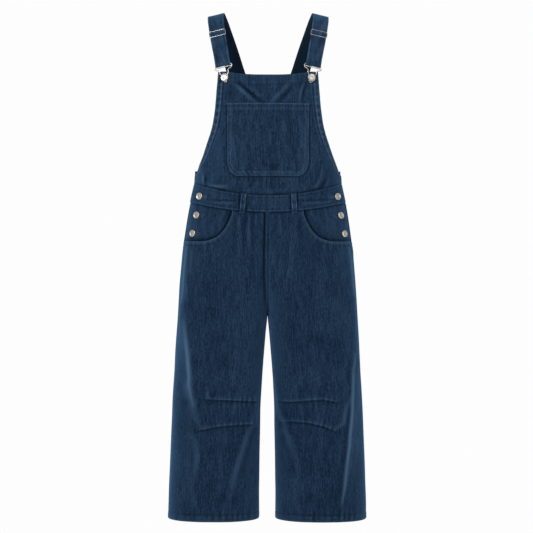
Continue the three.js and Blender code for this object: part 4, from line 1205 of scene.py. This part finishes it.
def add_bib_pocket():
    """The patch pocket on the bib, with two rows of stitches round it and two along its mouth."""
    def place(u, row):
        x = (2 * u - 1) * pocket_half(row)
        return np.where(x < 0, -1, 1), turn_at(x, row, "front"), row + 0 * u

    corner = POCKET["bottom"] + POCKET["corner"]
    rows = np.concatenate([[-243, -244, -245.4, -247.5, -251, -255, -259, -260.4, -261.6, -263, -265],
                           np.arange(-271, corner, -7.0),
                           corner - POCKET["corner"] * np.sin(np.linspace(0, 1, 16) * math.pi / 2)])
    parts = cloth_shell("front", place, rows, POCKET["lift"], pocket_relief, 0.5)
    add_cloth("bib_pocket", parts, "corduroy_bib")
    for inset in (2.8, 13.5):
        line = pocket_outline(inset)
        sew_line("bib", "front", line[line[:, 1] < POCKET["top"] - 1.5], POCKET["lift"] + 0.35, pocket_relief)
    for away in (3.0, 18.5):
        z = POCKET["top"] - away
        sew_line("bib", "front", [(-101, z), (101, z)], POCKET["lift"] + 0.35, pocket_relief)


def back_relief(at):
    """The back panel's armhole hems and its top edge."""
    x, z = at.x, at.z
    height = 0.9 * waves(x, z, 10, 120, 24, 1.6, 81)
    for edge in (at.left, at.right):
        for away in (3.0, 9.0):
            height = height - 0.4 * np.exp(-(((edge - away) / 1.2) ** 2))
        height = height + 0.4 * (1 - smooth(10, 12, edge)) + 0.4 * ripples(x + z, edge - 12, 18, 8, 83)
    height = height - 0.5 * np.exp(-(((at.top - 3) / 1.2) ** 2))
    height = height + rolled(at, ("left", "right", "top"), 0.8, 1.3) + rolled(at, ("bottom",), 0.6, 2)
    return height, np.ones(x.shape)


def back_top(q):
    """Level of the back panel's top edge, which is straight across."""
    return ARMHOLE[0, 0] + 0 * q


def add_back_panel():
    """The high back, up to where both straps are sewn in."""
    place = upper_place("back", ARMHOLE, back_top, -320.0)
    rows = np.concatenate([[-311, -312.2, -314, -317], np.arange(-320, -474, -5.5), [-477, -480]])
    parts = cloth_shell("back", place, rows, 0.0, back_relief, 0.5)
    add_cloth("back_panel", parts, "corduroy_bib")
    sew_panel_edges("back", place, back_relief, -311.0, -470.0, (3.0, 9.0), (3.0,))


# Belt loops


BELT_LOOPS = [
    ("belt_loop_front_right", "front", -1, 60, 66), ("belt_loop_front_left", "front", 1, 65, 68),
    ("belt_loop_back_right", "back", -1, 118, 120), ("belt_loop_back_centre", "back", -1, 0, 0),
    ("belt_loop_back_left", "back", 1, 118, 120),
]
LOOP = {"wide": 13.0, "cloth": 1.8, "seat": 1.2, "stand": 4.6, "above": 1.5, "below": 8.0}


def add_belt_loop(name, half, side, top, bottom):
    """A strip sewn down at both ends that stands off the waistband between them, along a sine."""
    def place(u, row):
        middle = top + (bottom - top) * row
        here = turn_at(middle, np.full(np.shape(middle), WAIST_TOP["side"]), half)
        z_top = waist_edge(WAIST_TOP, half, here) + LOOP["above"]
        z_bottom = waist_edge(WAIST_BOTTOM, half, here) - LOOP["below"]
        z = z_top + row * (z_bottom - z_top)
        x = side * middle + (2 * u - 1) * LOOP["wide"] / 2
        return np.where(x < 0, -1, 1), turn_at(x, z, half), z + 0 * x

    zs = np.linspace(0, 1, 200)
    side_z = place(np.full(200, 0.5), zs)[2]

    def standing(z):
        v = np.interp(-z, -side_z, zs)
        return LOOP["seat"] + (LOOP["stand"] - LOOP["seat"]) * np.sin(math.pi * v) ** 0.6 + LOOP["cloth"]

    def relief(at):
        height = standing(at.z) + rolled(at, ("left", "right"), 0.7, 0.9)
        height = height + rolled(at, ("top", "bottom"), 0.7, 1)
        # Painted highlights along the edges, painted highlights and shade across the top, and a painted
        # highlight and shade at the bottom end.
        for edge in (at.left, at.right):
            height = height - 0.35 * np.exp(-(((edge - 2.6) / 0.9) ** 2))
            at.light += line_band(edge, 1.0, 1.4, 1.9) * (0.7 + 0.5 * np.sin(at.z / 5.0 + edge))
        at.light += line_band(at.top, 8.0, 4.0, 0.8) * np.sin(at.x / 1.9) - line_band(at.top, 24.0, 5.0, 0.8)
        at.light += line_band(at.bottom, 1.5, 1.5, 1.0) - line_band(at.bottom, 9.0, 2.5, 0.7)
        return height, 1 - 0.6 * np.exp(-(((np.minimum(at.top, at.bottom) - 3) / 1.5) ** 2))

    rows = np.concatenate([[0, 0.02, 0.045, 0.075, 0.11, 0.15], np.arange(0.2, 0.81, 0.05),
                           [0.85, 0.89, 0.925, 0.955, 0.98, 1]])
    parts = cloth_shell(half, place, rows, 0.0, relief, 0.5, LOOP["cloth"])
    add_cloth(name, parts, "corduroy_bib")
    for away in (-3.9, 3.9):
        v = np.linspace(0.07, 0.93, 60)
        _, _, z = place(np.full(60, 0.5), v)
        x = side * (top + (bottom - top) * v) + away
        sew("bib", np.where(x < 0, -1, 1), half, turn_at(x, z, half), z, 0.35, relief, 2.6, 2.0)
    for v in (0.05, 0.95):
        _, _, z = place(np.array([0.5]), np.array([v]))
        x = side * (top + (bottom - top) * v) + np.linspace(-5.4, 5.4, 30)
        z = np.full(30, z[0])
        add_bar_tack(half, x, z, relief)


def add_bar_tack(half, x, z, relief):
    """Close short stitches across a line, as a machine's bar tack."""
    side = np.where(x < 0, -1, 1)
    turn = turn_at(x, z, half)
    form = form_point(side, half, turn, z)
    height, _ = relief(spot(form[:, 0], form[:, 2]))
    normal = form_normal(side, half, turn, z)
    points = form + normal * (fold_height(half, form[:, 0], form[:, 2]) + height + 0.45)[:, None]
    add_stitches("bib", points, normal, 0.8, 0.9, 0.5)


# Straps, sliders and buckles


STRAP_CLOTH = 2.0
# A strap's middle line from the back panel over the shoulder, for the side x > 0: x, y, z, how its width
# lies, going back and up per unit towards the centre, and its width.
STRAP_PATH = np.array([
    (21.6, 106, -310.7, 0, 0, 42.4), (30.3, 107.6, -288, 0.03, 0.2, 43), (47.5, 108.4, -246, 0.08, 0.36, 45),
    (66.5, 106.2, -197, 0.1, 0.37, 47), (85.2, 98, -143, 0.1, 0.36, 47.5), (101.6, 82, -91, 0.08, 0.34, 46),
    (116.5, 58, -48, 0.05, 0.3, 44.5), (127, 30, -19, 0.02, 0.27, 43), (135, 0, -4.2, 0, 0.25, 42.5),
    (136, -25, -17, -0.04, 0.24, 41.5), (133, -46, -41, -0.1, 0.22, 41), (128, -62, -74, -0.18, 0.21, 40.5),
    (122.3, -73, -105, -0.25, 0.2, 40),
], float)
# Widths in front and of the end turned back, the straight lead into the buckle, the stations' step
# and their clearance from the slider, and how the end turned back settles behind the strap.
STRAP = {"wide": 40.0, "turned_wide": 39.4, "lead": 18.0, "step": 7.0, "clear": 12.0, "turned_gap": 0.45,
         "settle": 14.0}
BUCKLE_WIRE = 1.1
# Half of the buckle's wire: out from the middle of the bar that the strap folds round, and down.
BUCKLE_OUTLINE = [
    (12, 0), (20.2, 0.2), (22.4, 2.4), (23.1, 6.2), (21.9, 9.3), (18, 11.6), (13.4, 13.2), (11.2, 15.8),
    (11.6, 19.6), (10.2, 23.6), (7.6, 27.6), (5.4, 32), (4.8, 37), (4.6, 41.2), (3.1, 44.8),
]
BUCKLE = {"crossbar": 6.2, "button": 33.9, "tip": 46.0, "lean": 0.03, "above": 2.9, "tilt": 0.22}
FOLD_RADIUS = BUCKLE_WIRE + 0.5 + STRAP_CLOTH / 2
SLIDER = {"half": 22.0, "reach": 8.7, "bar": 1.8, "wire": 0.72, "from_buckle": 88.0, "lift": 2.1}
# The strap's weave through the slider, along and out from its middle, and the end turned back behind.
WEAVE = [(-9.6, -2.1), (-6.2, -2.1), (-1.9, 2.1), (1.9, 2.1), (6.2, -2.1), (9.6, -2.1)]
TURNED_END = [(9.6, -4.6), (5, -4.3), (1.5, -2.3), (-1.2, -2.2)]
BIB_BUTTON_AT = (109.0, -176.9)


def unit(vector):
    """A vector, or each of many, at length 1."""
    return vector / np.linalg.norm(vector, axis=-1, keepdims=True)


def buckle_frame(side):
    """The buckle's own axes and the middle of the bar that the strap folds round."""
    x, z = BIB_BUTTON_AT
    turn = float(turn_at(x, z, "front"))
    out = unit(form_normal(side, "front", turn, z) + np.array([0, 0, BUCKLE["lean"]]))
    down = np.array([-side * BUCKLE["tilt"], 0, -1])
    down = unit(down - out * np.dot(down, out))
    inwards = unit(np.cross(down, out))
    inwards = inwards * (-1 if inwards[0] * side > 0 else 1)
    bar = cloth_point(side, "front", turn, z, 0) + out * BUCKLE["above"] - down * BUCKLE["button"]
    return out, down, inwards, bar


def strap_stations(side):
    """The strap's middle line as dense stations: place, direction across and half width."""
    out, down, inwards, bar = buckle_frame(side)
    mirror = np.array([side, 1, 1])
    end = bar + out * FOLD_RADIUS
    middles = np.concatenate([STRAP_PATH[:, :3] * mirror, [end - down * STRAP["lead"], end]])
    acrosses = unit(np.stack([np.full(len(STRAP_PATH), -side), STRAP_PATH[:, 3], STRAP_PATH[:, 4]], -1))
    acrosses = np.concatenate([acrosses, [inwards, inwards]])
    wides = np.concatenate([STRAP_PATH[:, 5], [STRAP["wide"]] * 2])
    line = curve(middles, 80)
    across_line = unit(curve(acrosses, 80))
    wide_line = np.interp(np.arange(len(line)) / 80, np.arange(len(wides)), wides)
    run = np.concatenate([[0], np.cumsum(np.linalg.norm(np.diff(line, axis=0), axis=1))])
    tangents = unit(np.gradient(line, axis=0))

    def stations(s):
        s = np.asarray(s, float)
        return read_along(run, line, s), unit(read_along(run, across_line, s)), np.interp(s, run, wide_line)

    def out_of(s):
        return unit(np.cross(read_along(run, tangents, s), read_along(run, across_line, s)) * -side)

    slide = run[-1] - SLIDER["from_buckle"]
    centre = stations([slide])[0][0]
    along = unit(read_along(run, tangents, [slide])[0])
    slider_out = out_of([slide])[0]
    centre = centre + slider_out * SLIDER["lift"]
    slider_across = unit(np.cross(slider_out, along) * -side)

    def woven(table):
        table = np.array(table, float)
        places = centre + table[:, :1] * along + table[:, 1:] * slider_out
        return places, np.tile(slider_across, (len(table), 1)), np.full(len(table), STRAP["wide"])

    up_to = slide - STRAP["clear"]
    before = stations(np.linspace(0, up_to, int(up_to / STRAP["step"])))
    after_s = np.linspace(slide + STRAP["clear"], run[-1], 15)
    after = stations(after_s)
    angles = np.linspace(0, math.pi, 7)[1:, None]
    fold = (bar + FOLD_RADIUS * (np.cos(angles) * out + np.sin(angles) * down),
            np.tile(inwards, (6, 1)), np.full(6, STRAP["wide"]))
    back_s = after_s[-2::-1]
    close = STRAP_CLOTH + STRAP["turned_gap"]
    apart = close + (2 * FOLD_RADIUS - close) * np.exp(-(((run[-1] - back_s) / STRAP["settle"]) ** 2))
    places, acrosses, _ = stations(back_s)
    returning = (places - out_of(back_s) * apart[:, None], acrosses,
                 np.full(len(back_s), STRAP["turned_wide"]))
    parts = [before, woven(WEAVE), after, fold, returning, woven(TURNED_END)]
    places, acrosses, wides = (np.concatenate(group) for group in zip(*parts))
    frame_of_slider = (centre, slider_across, along, slider_out)
    return places, acrosses, wides, frame_of_slider


def strap_shell(side):
    """A doubled strap as a closed band: its middle line is a smooth curve through the stations, and on
    both faces the wales run along it."""
    places, acrosses, wides, slider = strap_stations(side)
    per_run = 2
    middle = curve(places, per_run)
    across = unit(curve(acrosses, per_run))
    wide = np.interp(np.arange(len(middle)) / per_run, np.arange(len(wides)), wides)
    along = unit(np.gradient(middle, axis=0))
    across = unit(across - along * np.sum(across * along, axis=1, keepdims=True))
    out = unit(np.cross(along, across) * -side)
    run = np.concatenate([[0], np.cumsum(np.linalg.norm(np.diff(middle, axis=0), axis=1))])
    count = 2 * int(40 / STEP / 2) + 1
    q = np.linspace(-1, 1, count)
    s = q * (count - 1) / 2 * STEP
    edge = (1 - np.abs(q)) * 20
    half_cloth = STRAP_CLOTH / 2 - 0.55 * np.exp(-((edge / 1.2) ** 2))
    groove = -0.35 * np.exp(-(((edge - 4.5) / 1.0) ** 2))
    pile = wale(s) * (1 - 0.6 * np.exp(-(((edge - 4.5) / 1.2) ** 2))) - 0.25
    ripple = 0.35 * ripples(run[:, None], edge[None, :] - 3, 13, 6, 91 + side)
    face = half_cloth[None, :] + groove[None, :] + pile[None, :] + ripple
    bow = 0.25 * np.sin(run / 31 + side)[:, None] * (1 - q[None, :] ** 2)
    base = middle[:, None, :] + across[:, None, :] * (q[None, :, None] * wide[:, None, None] / 2)
    front = base + out[:, None, :] * (face + bow)[..., None]
    back = base - out[:, None, :] * (half_cloth[None, :] + groove[None, :] + pile[None, :] - bow)[..., None]
    ring = np.concatenate([front, back[:, ::-1]], axis=1)
    rows, columns = ring.shape[:2]
    ids = np.arange(rows * columns).reshape(rows, columns)
    nxt = np.roll(ids, -1, axis=1)
    quads = np.stack([ids[:-1], nxt[:-1], nxt[1:], ids[1:]], -1).reshape(-1, 4)
    half_ring = columns // 2
    caps = []
    for row, flip in ((0, 1), (rows - 1, -1)):
        top = ids[row, :half_ring]
        low = ids[row, half_ring:][::-1]
        caps.append(np.stack([top[:-1], low[:-1], low[1:], top[1:]], -1)[:, ::flip])
    uv = np.stack(np.broadcast_arrays(np.concatenate([s, s[::-1] + 60])[None, :], run[:, None]), -1) / PITCH
    points = ring.reshape(-1, 3)
    face_sets = facing_out(points, [np.concatenate([quads] + caps)])
    inside = np.zeros((rows, columns))
    inside[:, half_ring:] = 1
    # Painted highlights along the strap's edges, painted shade in the stitch grooves and a slight painted
    # paling all over, varied along the strap; the mottle is a random tone.
    light = line_band(edge, 1.6, 1.4, 0.9) + line_band(edge, 4.5, 1.0, -0.6) + 0.25
    patchy = 0.9 + 0.8 * np.sin(run / 17 + 2 * side) * np.sin(run / 7.3)
    mottled = 0.4 * waves(*np.broadcast_arrays(s[None, :], run[:, None]), 9, 34, 7, 1.6, 95 + side)
    painted_light_and_mottle = np.concatenate([light[None, :] * patchy[:, None] + mottled, np.zeros((rows, count))], axis=1)
    sew_strap(middle, across, out, wide)
    return (points, face_sets, uv.reshape(-1, 2), inside.ravel(), painted_light_and_mottle.ravel()), slider


def sew_strap(middle, across, out, wide):
    """Two runs of stitches along each face, beside the strap's edges."""
    for edge in (-1, 1):
        line = middle + across * (edge * (wide / 2 - 4.5))[:, None]
        for face in (-1, 1):
            raised = line + out * face * (STRAP_CLOTH / 2 + 0.02)
            add_stitches("bib", raised, out * face)


def tube(points, normals, radius, sides=12, closed=False):
    """A round wire: rings of points about a line, with its own normals across it."""
    along = unit(np.gradient(points, axis=0))
    if closed:
        along = unit(np.roll(points, -1, axis=0) - np.roll(points, 1, axis=0))
    normals = unit(normals - along * np.sum(normals * along, axis=1, keepdims=True))
    across = np.cross(along, normals)
    angles = np.arange(sides) * 2 * math.pi / sides
    radius = np.broadcast_to(radius, len(points))[:, None, None]
    ring = (points[:, None, :] + radius * (np.cos(angles)[None, :, None] * normals[:, None, :]
                                           + np.sin(angles)[None, :, None] * across[:, None, :]))
    ids = np.arange(ring.shape[0] * sides).reshape(-1, sides)
    after = np.roll(ids, -1, axis=0) if closed else ids[1:]
    before = ids if closed else ids[:-1]
    quads = np.stack([before, np.roll(before, -1, 1), np.roll(after, -1, 1), after], -1).reshape(-1, 4)
    face_sets = [quads] if closed else [quads, ids[:1, ::-1], ids[-1:]]
    flat = ring.reshape(-1, 3)
    return flat, facing_out(flat, face_sets)


def rounded_ends(count, radius):
    """A wire's radius along its length, drawn in at both ends like part of a circle."""
    t = np.minimum(np.arange(count), np.arange(count)[::-1])
    return radius * np.sqrt(1 - np.clip(1 - t / 3, 0, 1) ** 2 * 0.75)


def add_buckle(side, word):
    """One bent wire from the bar's middle round both shoulders to the keyhole's tip, and a crossbar."""
    out, down, inwards, bar = buckle_frame(side)
    half = [(a, b) for a, b in BUCKLE_OUTLINE]
    loop = [(0.2, 0)] + half + [(0, BUCKLE["tip"])] + [(-a, b) for a, b in half[::-1]] + [(-0.2, 0)]
    flat = curve(np.array(loop), 7)
    points = bar + flat[:, :1] * inwards + flat[:, 1:] * down
    wire = tube(points, np.tile(out, (len(points), 1)), BUCKLE_WIRE, 12)
    reach = np.linspace(-22.8, 22.8, 24)[:, None]
    cross = bar + down * BUCKLE["crossbar"] + reach * inwards
    rod = tube(cross, np.tile(out, (24, 1)), rounded_ends(24, 1.25), 12)
    parts = joined([wire, rod])
    name = f"buckle_{word}"
    mesh = make_mesh(name + "_wire", *parts, sharp=METAL_CORNER)
    add_piece(mesh, finishes["nickel"], (name,))


def add_slider(word, frame_of_slider):
    """A rounded frame of flat wire with a middle bar."""
    centre, across, along, out = frame_of_slider
    half, reach = SLIDER["half"] - SLIDER["bar"] / 2, SLIDER["reach"] - SLIDER["bar"] / 2
    corner = 2.0
    angles = np.linspace(0, math.pi / 2, 6)
    turns = [(half - corner, reach - corner, 0), (-half + corner, reach - corner, 1),
             (-half + corner, -reach + corner, 2), (half - corner, -reach + corner, 3)]
    outline = []
    for x, y, quarter in turns:
        bend = angles + quarter * math.pi / 2
        outline.append(np.stack([x + corner * np.cos(bend), y + corner * np.sin(bend)], -1))
    outline = np.concatenate(outline)
    points = centre + outline[:, :1] * across + outline[:, 1:] * along
    frame_wire = tube(points, np.tile(out, (len(points), 1)), SLIDER["wire"], 10, closed=True)
    reach_bar = np.linspace(-half, half, 12)[:, None]
    rod = tube(centre + reach_bar * across, np.tile(out, (12, 1)), SLIDER["wire"], 10)
    parts = joined([frame_wire, rod])
    name = f"slider_{word}"
    mesh = make_mesh(name + "_wire", *parts, sharp=METAL_CORNER)
    add_piece(mesh, finishes["nickel"], (name,))


def add_strap(side, word):
    """A strap with its slider and buckle."""
    parts, slider = strap_shell(side)
    name = f"strap_{word}"
    add_cloth(name, parts, "corduroy_bib")
    add_slider(word, slider)
    add_buckle(side, word)


# Buttons and buttonholes


SIDE_BUTTON = {"cap": 9.0, "shank": 2.2, "tall": 3.8, "turn": 0.18}
BIB_BUTTON = {"cap": 10.0, "shank": 2.8, "tall": 6.4, "turn": 0.0}
# Level, x on the right and on the left, and lift.
SIDE_BUTTONS = [(-477.8, 174, 177.4, 1.1), (-525.6, 183.5, 188, -2.3), (-572.8, 193.5, 197.5, -2.3)]


def add_button(name, size, side, x, z, lift):
    """A dished cap with a rolled rim on a shank, turned about its axis."""
    turn = float(turn_at(x, z, "front"))
    normal = form_normal(side, "front", turn, z)
    axis = unit(normal * (1 - size["turn"]) + np.array([0, -1, 0]) * size["turn"])
    place = cloth_point(side, "front", turn, z, lift)
    cap, shank, tall = size["cap"], size["shank"], size["tall"]
    rim = np.linspace(-0.5 * math.pi, 0.62 * math.pi, 9)
    roll = 0.95
    profile = [(0.02, 0), (shank, 0), (shank, tall - 2 * roll - 0.1), (cap - 2, tall - 2 * roll)]
    profile += [(cap - roll + roll * math.cos(a), tall - roll + roll * math.sin(a)) for a in rim]
    profile += [(cap - 2.6, tall - 0.5), (cap - 3.4, tall - 0.8), (cap - 4.4, tall - 0.85),
                (cap * 0.32, tall - 0.62), (cap * 0.16, tall - 0.5), (0.02, tall - 0.46)]
    profile = np.array(profile)
    sides = 40
    first = unit(np.cross(axis, [0.0, 0.0, 1.0]))
    second = np.cross(axis, first)
    angles = np.arange(sides) * 2 * math.pi / sides
    ring = np.cos(angles)[:, None] * first + np.sin(angles)[:, None] * second
    points = (place + profile[:, None, 1:] * axis + profile[:, None, :1] * ring[None]).reshape(-1, 3)
    ids = np.arange(len(points)).reshape(-1, sides)
    quads = np.stack([ids[:-1], np.roll(ids[:-1], -1, 1), np.roll(ids[1:], -1, 1), ids[1:]], -1)
    quads = quads.reshape(-1, 4)
    faces = facing_out(points, [quads, ids[:1, ::-1], ids[-1:]])
    mesh = make_mesh(name + "_cap", points, faces, sharp=METAL_CORNER)
    add_piece(mesh, finishes["button_metal"], (name,))


def add_buttonhole(side, x, z, lift, long):
    """Close stitches round a slot that runs from the button's shank towards the centre."""
    angles = np.linspace(0, 2 * math.pi, 200)
    straight = long / 2 - 2.4
    u = np.clip(np.cos(angles) * 3, -1, 1) * straight + 2.4 * np.cos(angles)
    v = 2.4 * np.sin(angles)
    xs = side * (x - long / 2 + 3 + u)
    zs = z + v
    turn = turn_at(xs, zs, "front")
    form = form_point(side, "front", turn, zs)
    normal = form_normal(side, "front", turn, zs)
    points = form + normal * (fold_height("front", form[:, 0], form[:, 2]) + lift)[:, None]
    add_stitches("bib", points, normal, 1.0, 1.5, 0.75)


def add_side_buttons(side, word):
    """The three buttons of a side opening and their buttonholes."""
    for i, (z, right, left, lift) in enumerate(SIDE_BUTTONS):
        x = right if side < 0 else left
        add_button(f"side_button_{word}_{i + 1}", SIDE_BUTTON, side, x, z, lift + 0.3)
        add_buttonhole(side, x, z, 1.15 if i == 0 else -2.2, 22)


# Finishes


def new_material(name):
    """A material with its nodes, its links and its shader."""
    material = bpy.data.materials.new(name)
    material.use_nodes = True
    tree = material.node_tree
    return material, tree.nodes, tree.links, tree.nodes["Principled BSDF"]


def math_node(nodes, links, kind, first, second=None, third=None, clamp=False):
    """Arithmetic on numbers or on other nodes' outputs."""
    node = nodes.new("ShaderNodeMath")
    node.operation = kind
    node.use_clamp = clamp
    for i, value in enumerate((first, second, third)):
        if value is None:
            continue
        if isinstance(value, (int, float)):
            node.inputs[i].default_value = value
        else:
            links.new(value, node.inputs[i])
    return node.outputs[0]


def mix_colour(nodes, links, share, first, second, kind="MIX"):
    """From the first colour to the second, by share."""
    node = nodes.new("ShaderNodeMix")
    node.data_type = "RGBA"
    node.blend_type = kind
    for socket, value in ((node.inputs[0], share), (node.inputs[6], first), (node.inputs[7], second)):
        if isinstance(value, (int, float)):
            socket.default_value = value
        elif isinstance(value, tuple):
            socket.default_value = (*value, 1)
        else:
            links.new(value, socket)
    return node.outputs[2]


def noise(nodes, links, vector, scale, detail=3.0, rough=0.55):
    """Soft noise over the places in vector."""
    node = nodes.new("ShaderNodeTexNoise")
    node.inputs["Scale"].default_value = scale
    node.inputs["Detail"].default_value = detail
    node.inputs["Roughness"].default_value = rough
    links.new(vector, node.inputs["Vector"])
    return node.outputs["Fac"]


def stretched(nodes, links, vector, scale):
    """The places in vector, scaled on each axis."""
    node = nodes.new("ShaderNodeMapping")
    node.inputs["Scale"].default_value = scale
    links.new(vector, node.inputs["Vector"])
    return node.outputs["Vector"]


# Colours of the painted highlights and painted shade on the pile, and how strongly each is mixed in.
PAINTED_HIGHLIGHT_PILE = (0.075, 0.145, 0.24)
PAINTED_SHADE_PILE = (0.0015, 0.0035, 0.008)
PAINTED_LIGHT_SHARES = {"pale": 0.36, "shaded": -0.85}
# Scale of the pile's unevenness across and along the wales, and how strongly it shows.
MOTTLE = {"lines": (0.95, 0.08), "patches": (0.95, 0.36), "nap": (3.4, 1.1)}
TONE = {"patches": 0.55, "lines": 0.45, "gain": 4.0, "offset": -1.58, "clouds": 1.0, "nap": 0.9}


def corduroy(name, back, groove, low, high, sheen):
    """Cut pile dyed navy: the map's x counts wales and its y runs along them. The grooves carry painted
    shade, the backs vary along each wale and between wales, painted highlights make the pile pale and painted
    shade makes it dark, and the inner face is plain."""
    material, nodes, links, shader = new_material(name)
    uv = nodes.new("ShaderNodeUVMap")
    uv.uv_map = "cloth"
    parts = nodes.new("ShaderNodeSeparateXYZ")
    links.new(uv.outputs["UV"], parts.inputs[0])
    place = nodes.new("ShaderNodeTexCoord").outputs["Object"]

    def calc(kind, *values, clamp=False):
        return math_node(nodes, links, kind, *values, clamp=clamp)

    def mottled(scale, detail, rough):
        return noise(nodes, links, stretched(nodes, links, uv.outputs["UV"], (*scale, 1)), 1.0, detail, rough)

    def kept(attribute):
        node = nodes.new("ShaderNodeAttribute")
        node.attribute_name = attribute
        return node.outputs["Fac"]

    edge = calc("ABSOLUTE", calc("SUBTRACT", calc("FRACT", parts.outputs[0]), 0.5))
    painted_groove_shade = calc("SMOOTH_MIN", calc("MULTIPLY_ADD", edge, 4.0, -1.2), 1.0, 0.2, clamp=True)
    lines = mottled(MOTTLE["lines"], 2, 0.5)
    patches = mottled(MOTTLE["patches"], 3, 0.6)
    streaks = calc("MULTIPLY_ADD", patches, TONE["patches"], calc("MULTIPLY", lines, TONE["lines"]))
    nap = mottled(MOTTLE["nap"], 2, 0.6)
    cloudy = noise(nodes, links, place, 9.0, 4, 0.55)
    tone = calc("MULTIPLY_ADD", streaks, TONE["gain"], TONE["offset"])
    tone = calc("MULTIPLY_ADD", calc("SUBTRACT", cloudy, 0.5), TONE["clouds"], tone)
    tone = calc("MULTIPLY_ADD", calc("SUBTRACT", nap, 0.5), TONE["nap"], tone, clamp=True)
    pile = mix_colour(nodes, links, tone, low, high)
    # Painted shade in the grooves between the wales.
    pile = mix_colour(nodes, links, calc("MULTIPLY", painted_groove_shade, 0.75), pile, groove)
    painted_light_and_mottle = kept("painted_light_and_mottle")
    # Painted highlights, then painted shade, from the painted light attribute.
    pile = mix_colour(nodes, links, calc("MULTIPLY", painted_light_and_mottle, PAINTED_LIGHT_SHARES["pale"], clamp=True), pile, PAINTED_HIGHLIGHT_PILE)
    pile = mix_colour(nodes, links, calc("MULTIPLY", painted_light_and_mottle, PAINTED_LIGHT_SHARES["shaded"], clamp=True), pile, PAINTED_SHADE_PILE)
    links.new(mix_colour(nodes, links, kept("inside"), pile, back), shader.inputs["Base Color"])
    shader.inputs["Roughness"].default_value = 0.88
    shader.inputs["Specular IOR Level"].default_value = 0.0
    shader.inputs["Sheen Weight"].default_value = sheen
    shader.inputs["Sheen Roughness"].default_value = 0.5
    shader.inputs["Sheen Tint"].default_value = (0.2, 0.45, 0.85, 1)
    bump = nodes.new("ShaderNodeBump")
    bump.inputs["Strength"].default_value = 0.35
    bump.inputs["Distance"].default_value = 0.0006
    links.new(nap, bump.inputs["Height"])
    links.new(bump.outputs["Normal"], shader.inputs["Normal"])
    return material


def thread(name, colour):
    """Dull twisted thread of one colour."""
    material, _, _, shader = new_material(name)
    shader.inputs["Base Color"].default_value = (*colour, 1)
    shader.inputs["Roughness"].default_value = 0.62
    shader.inputs["Sheen Weight"].default_value = 0.2
    shader.inputs["Sheen Tint"].default_value = (0.4, 0.6, 0.9, 1)
    return material


def plated(name, dark, pale, roughness):
    """Polished metal with faint clouding."""
    material, nodes, links, shader = new_material(name)
    place = nodes.new("ShaderNodeTexCoord").outputs["Object"]
    clouds = noise(nodes, links, place, 260.0, 3, 0.6)
    links.new(mix_colour(nodes, links, clouds, dark, pale), shader.inputs["Base Color"])
    shader.inputs["Metallic"].default_value = 1.0
    rough = math_node(nodes, links, "MULTIPLY_ADD", clouds, 0.16, roughness - 0.08)
    links.new(rough, shader.inputs["Roughness"])
    return material


# Making the garment


finishes = {
    # The second colour of each corduroy is the painted shade in its grooves.
    "corduroy": corduroy("navy_corduroy", (0.0045, 0.01, 0.019), (0.002, 0.006, 0.014), (0.004, 0.012, 0.029),
                         (0.022, 0.049, 0.098), 0.75),
    "corduroy_bib": corduroy("navy_corduroy_bib", (0.0045, 0.01, 0.019), (0.0025, 0.007, 0.016),
                             (0.0045, 0.0135, 0.032), (0.025, 0.055, 0.108), 0.75),
    "thread": thread("navy_thread", (0.026, 0.055, 0.105)),
    "nickel": plated("bright_nickel", (0.5, 0.47, 0.43), (0.86, 0.83, 0.79), 0.34),
    "button_metal": plated("pale_button_metal", (0.42, 0.36, 0.3), (0.9, 0.85, 0.78), 0.4),
}

add_bib()
add_bib_pocket()
add_back_panel()
add_waistband("front")
add_waistband("back")
for side, word in ((-1, "right"), (1, "left")):
    add_legs(side, word)
    add_facing(side, word)
    add_strap(side, word)
    add_side_buttons(side, word)
    add_button(f"bib_button_{word}", BIB_BUTTON, side, BIB_BUTTON_AT[0], BIB_BUTTON_AT[1], 0.6)
for loop in BELT_LOOPS:
    add_belt_loop(*loop)
for group, slot in (("bib", "corduroy_bib"), ("legs", "corduroy")):
    name = f"stitching_{group}"
    add_piece(stitch_mesh(name, group), finishes["thread"])
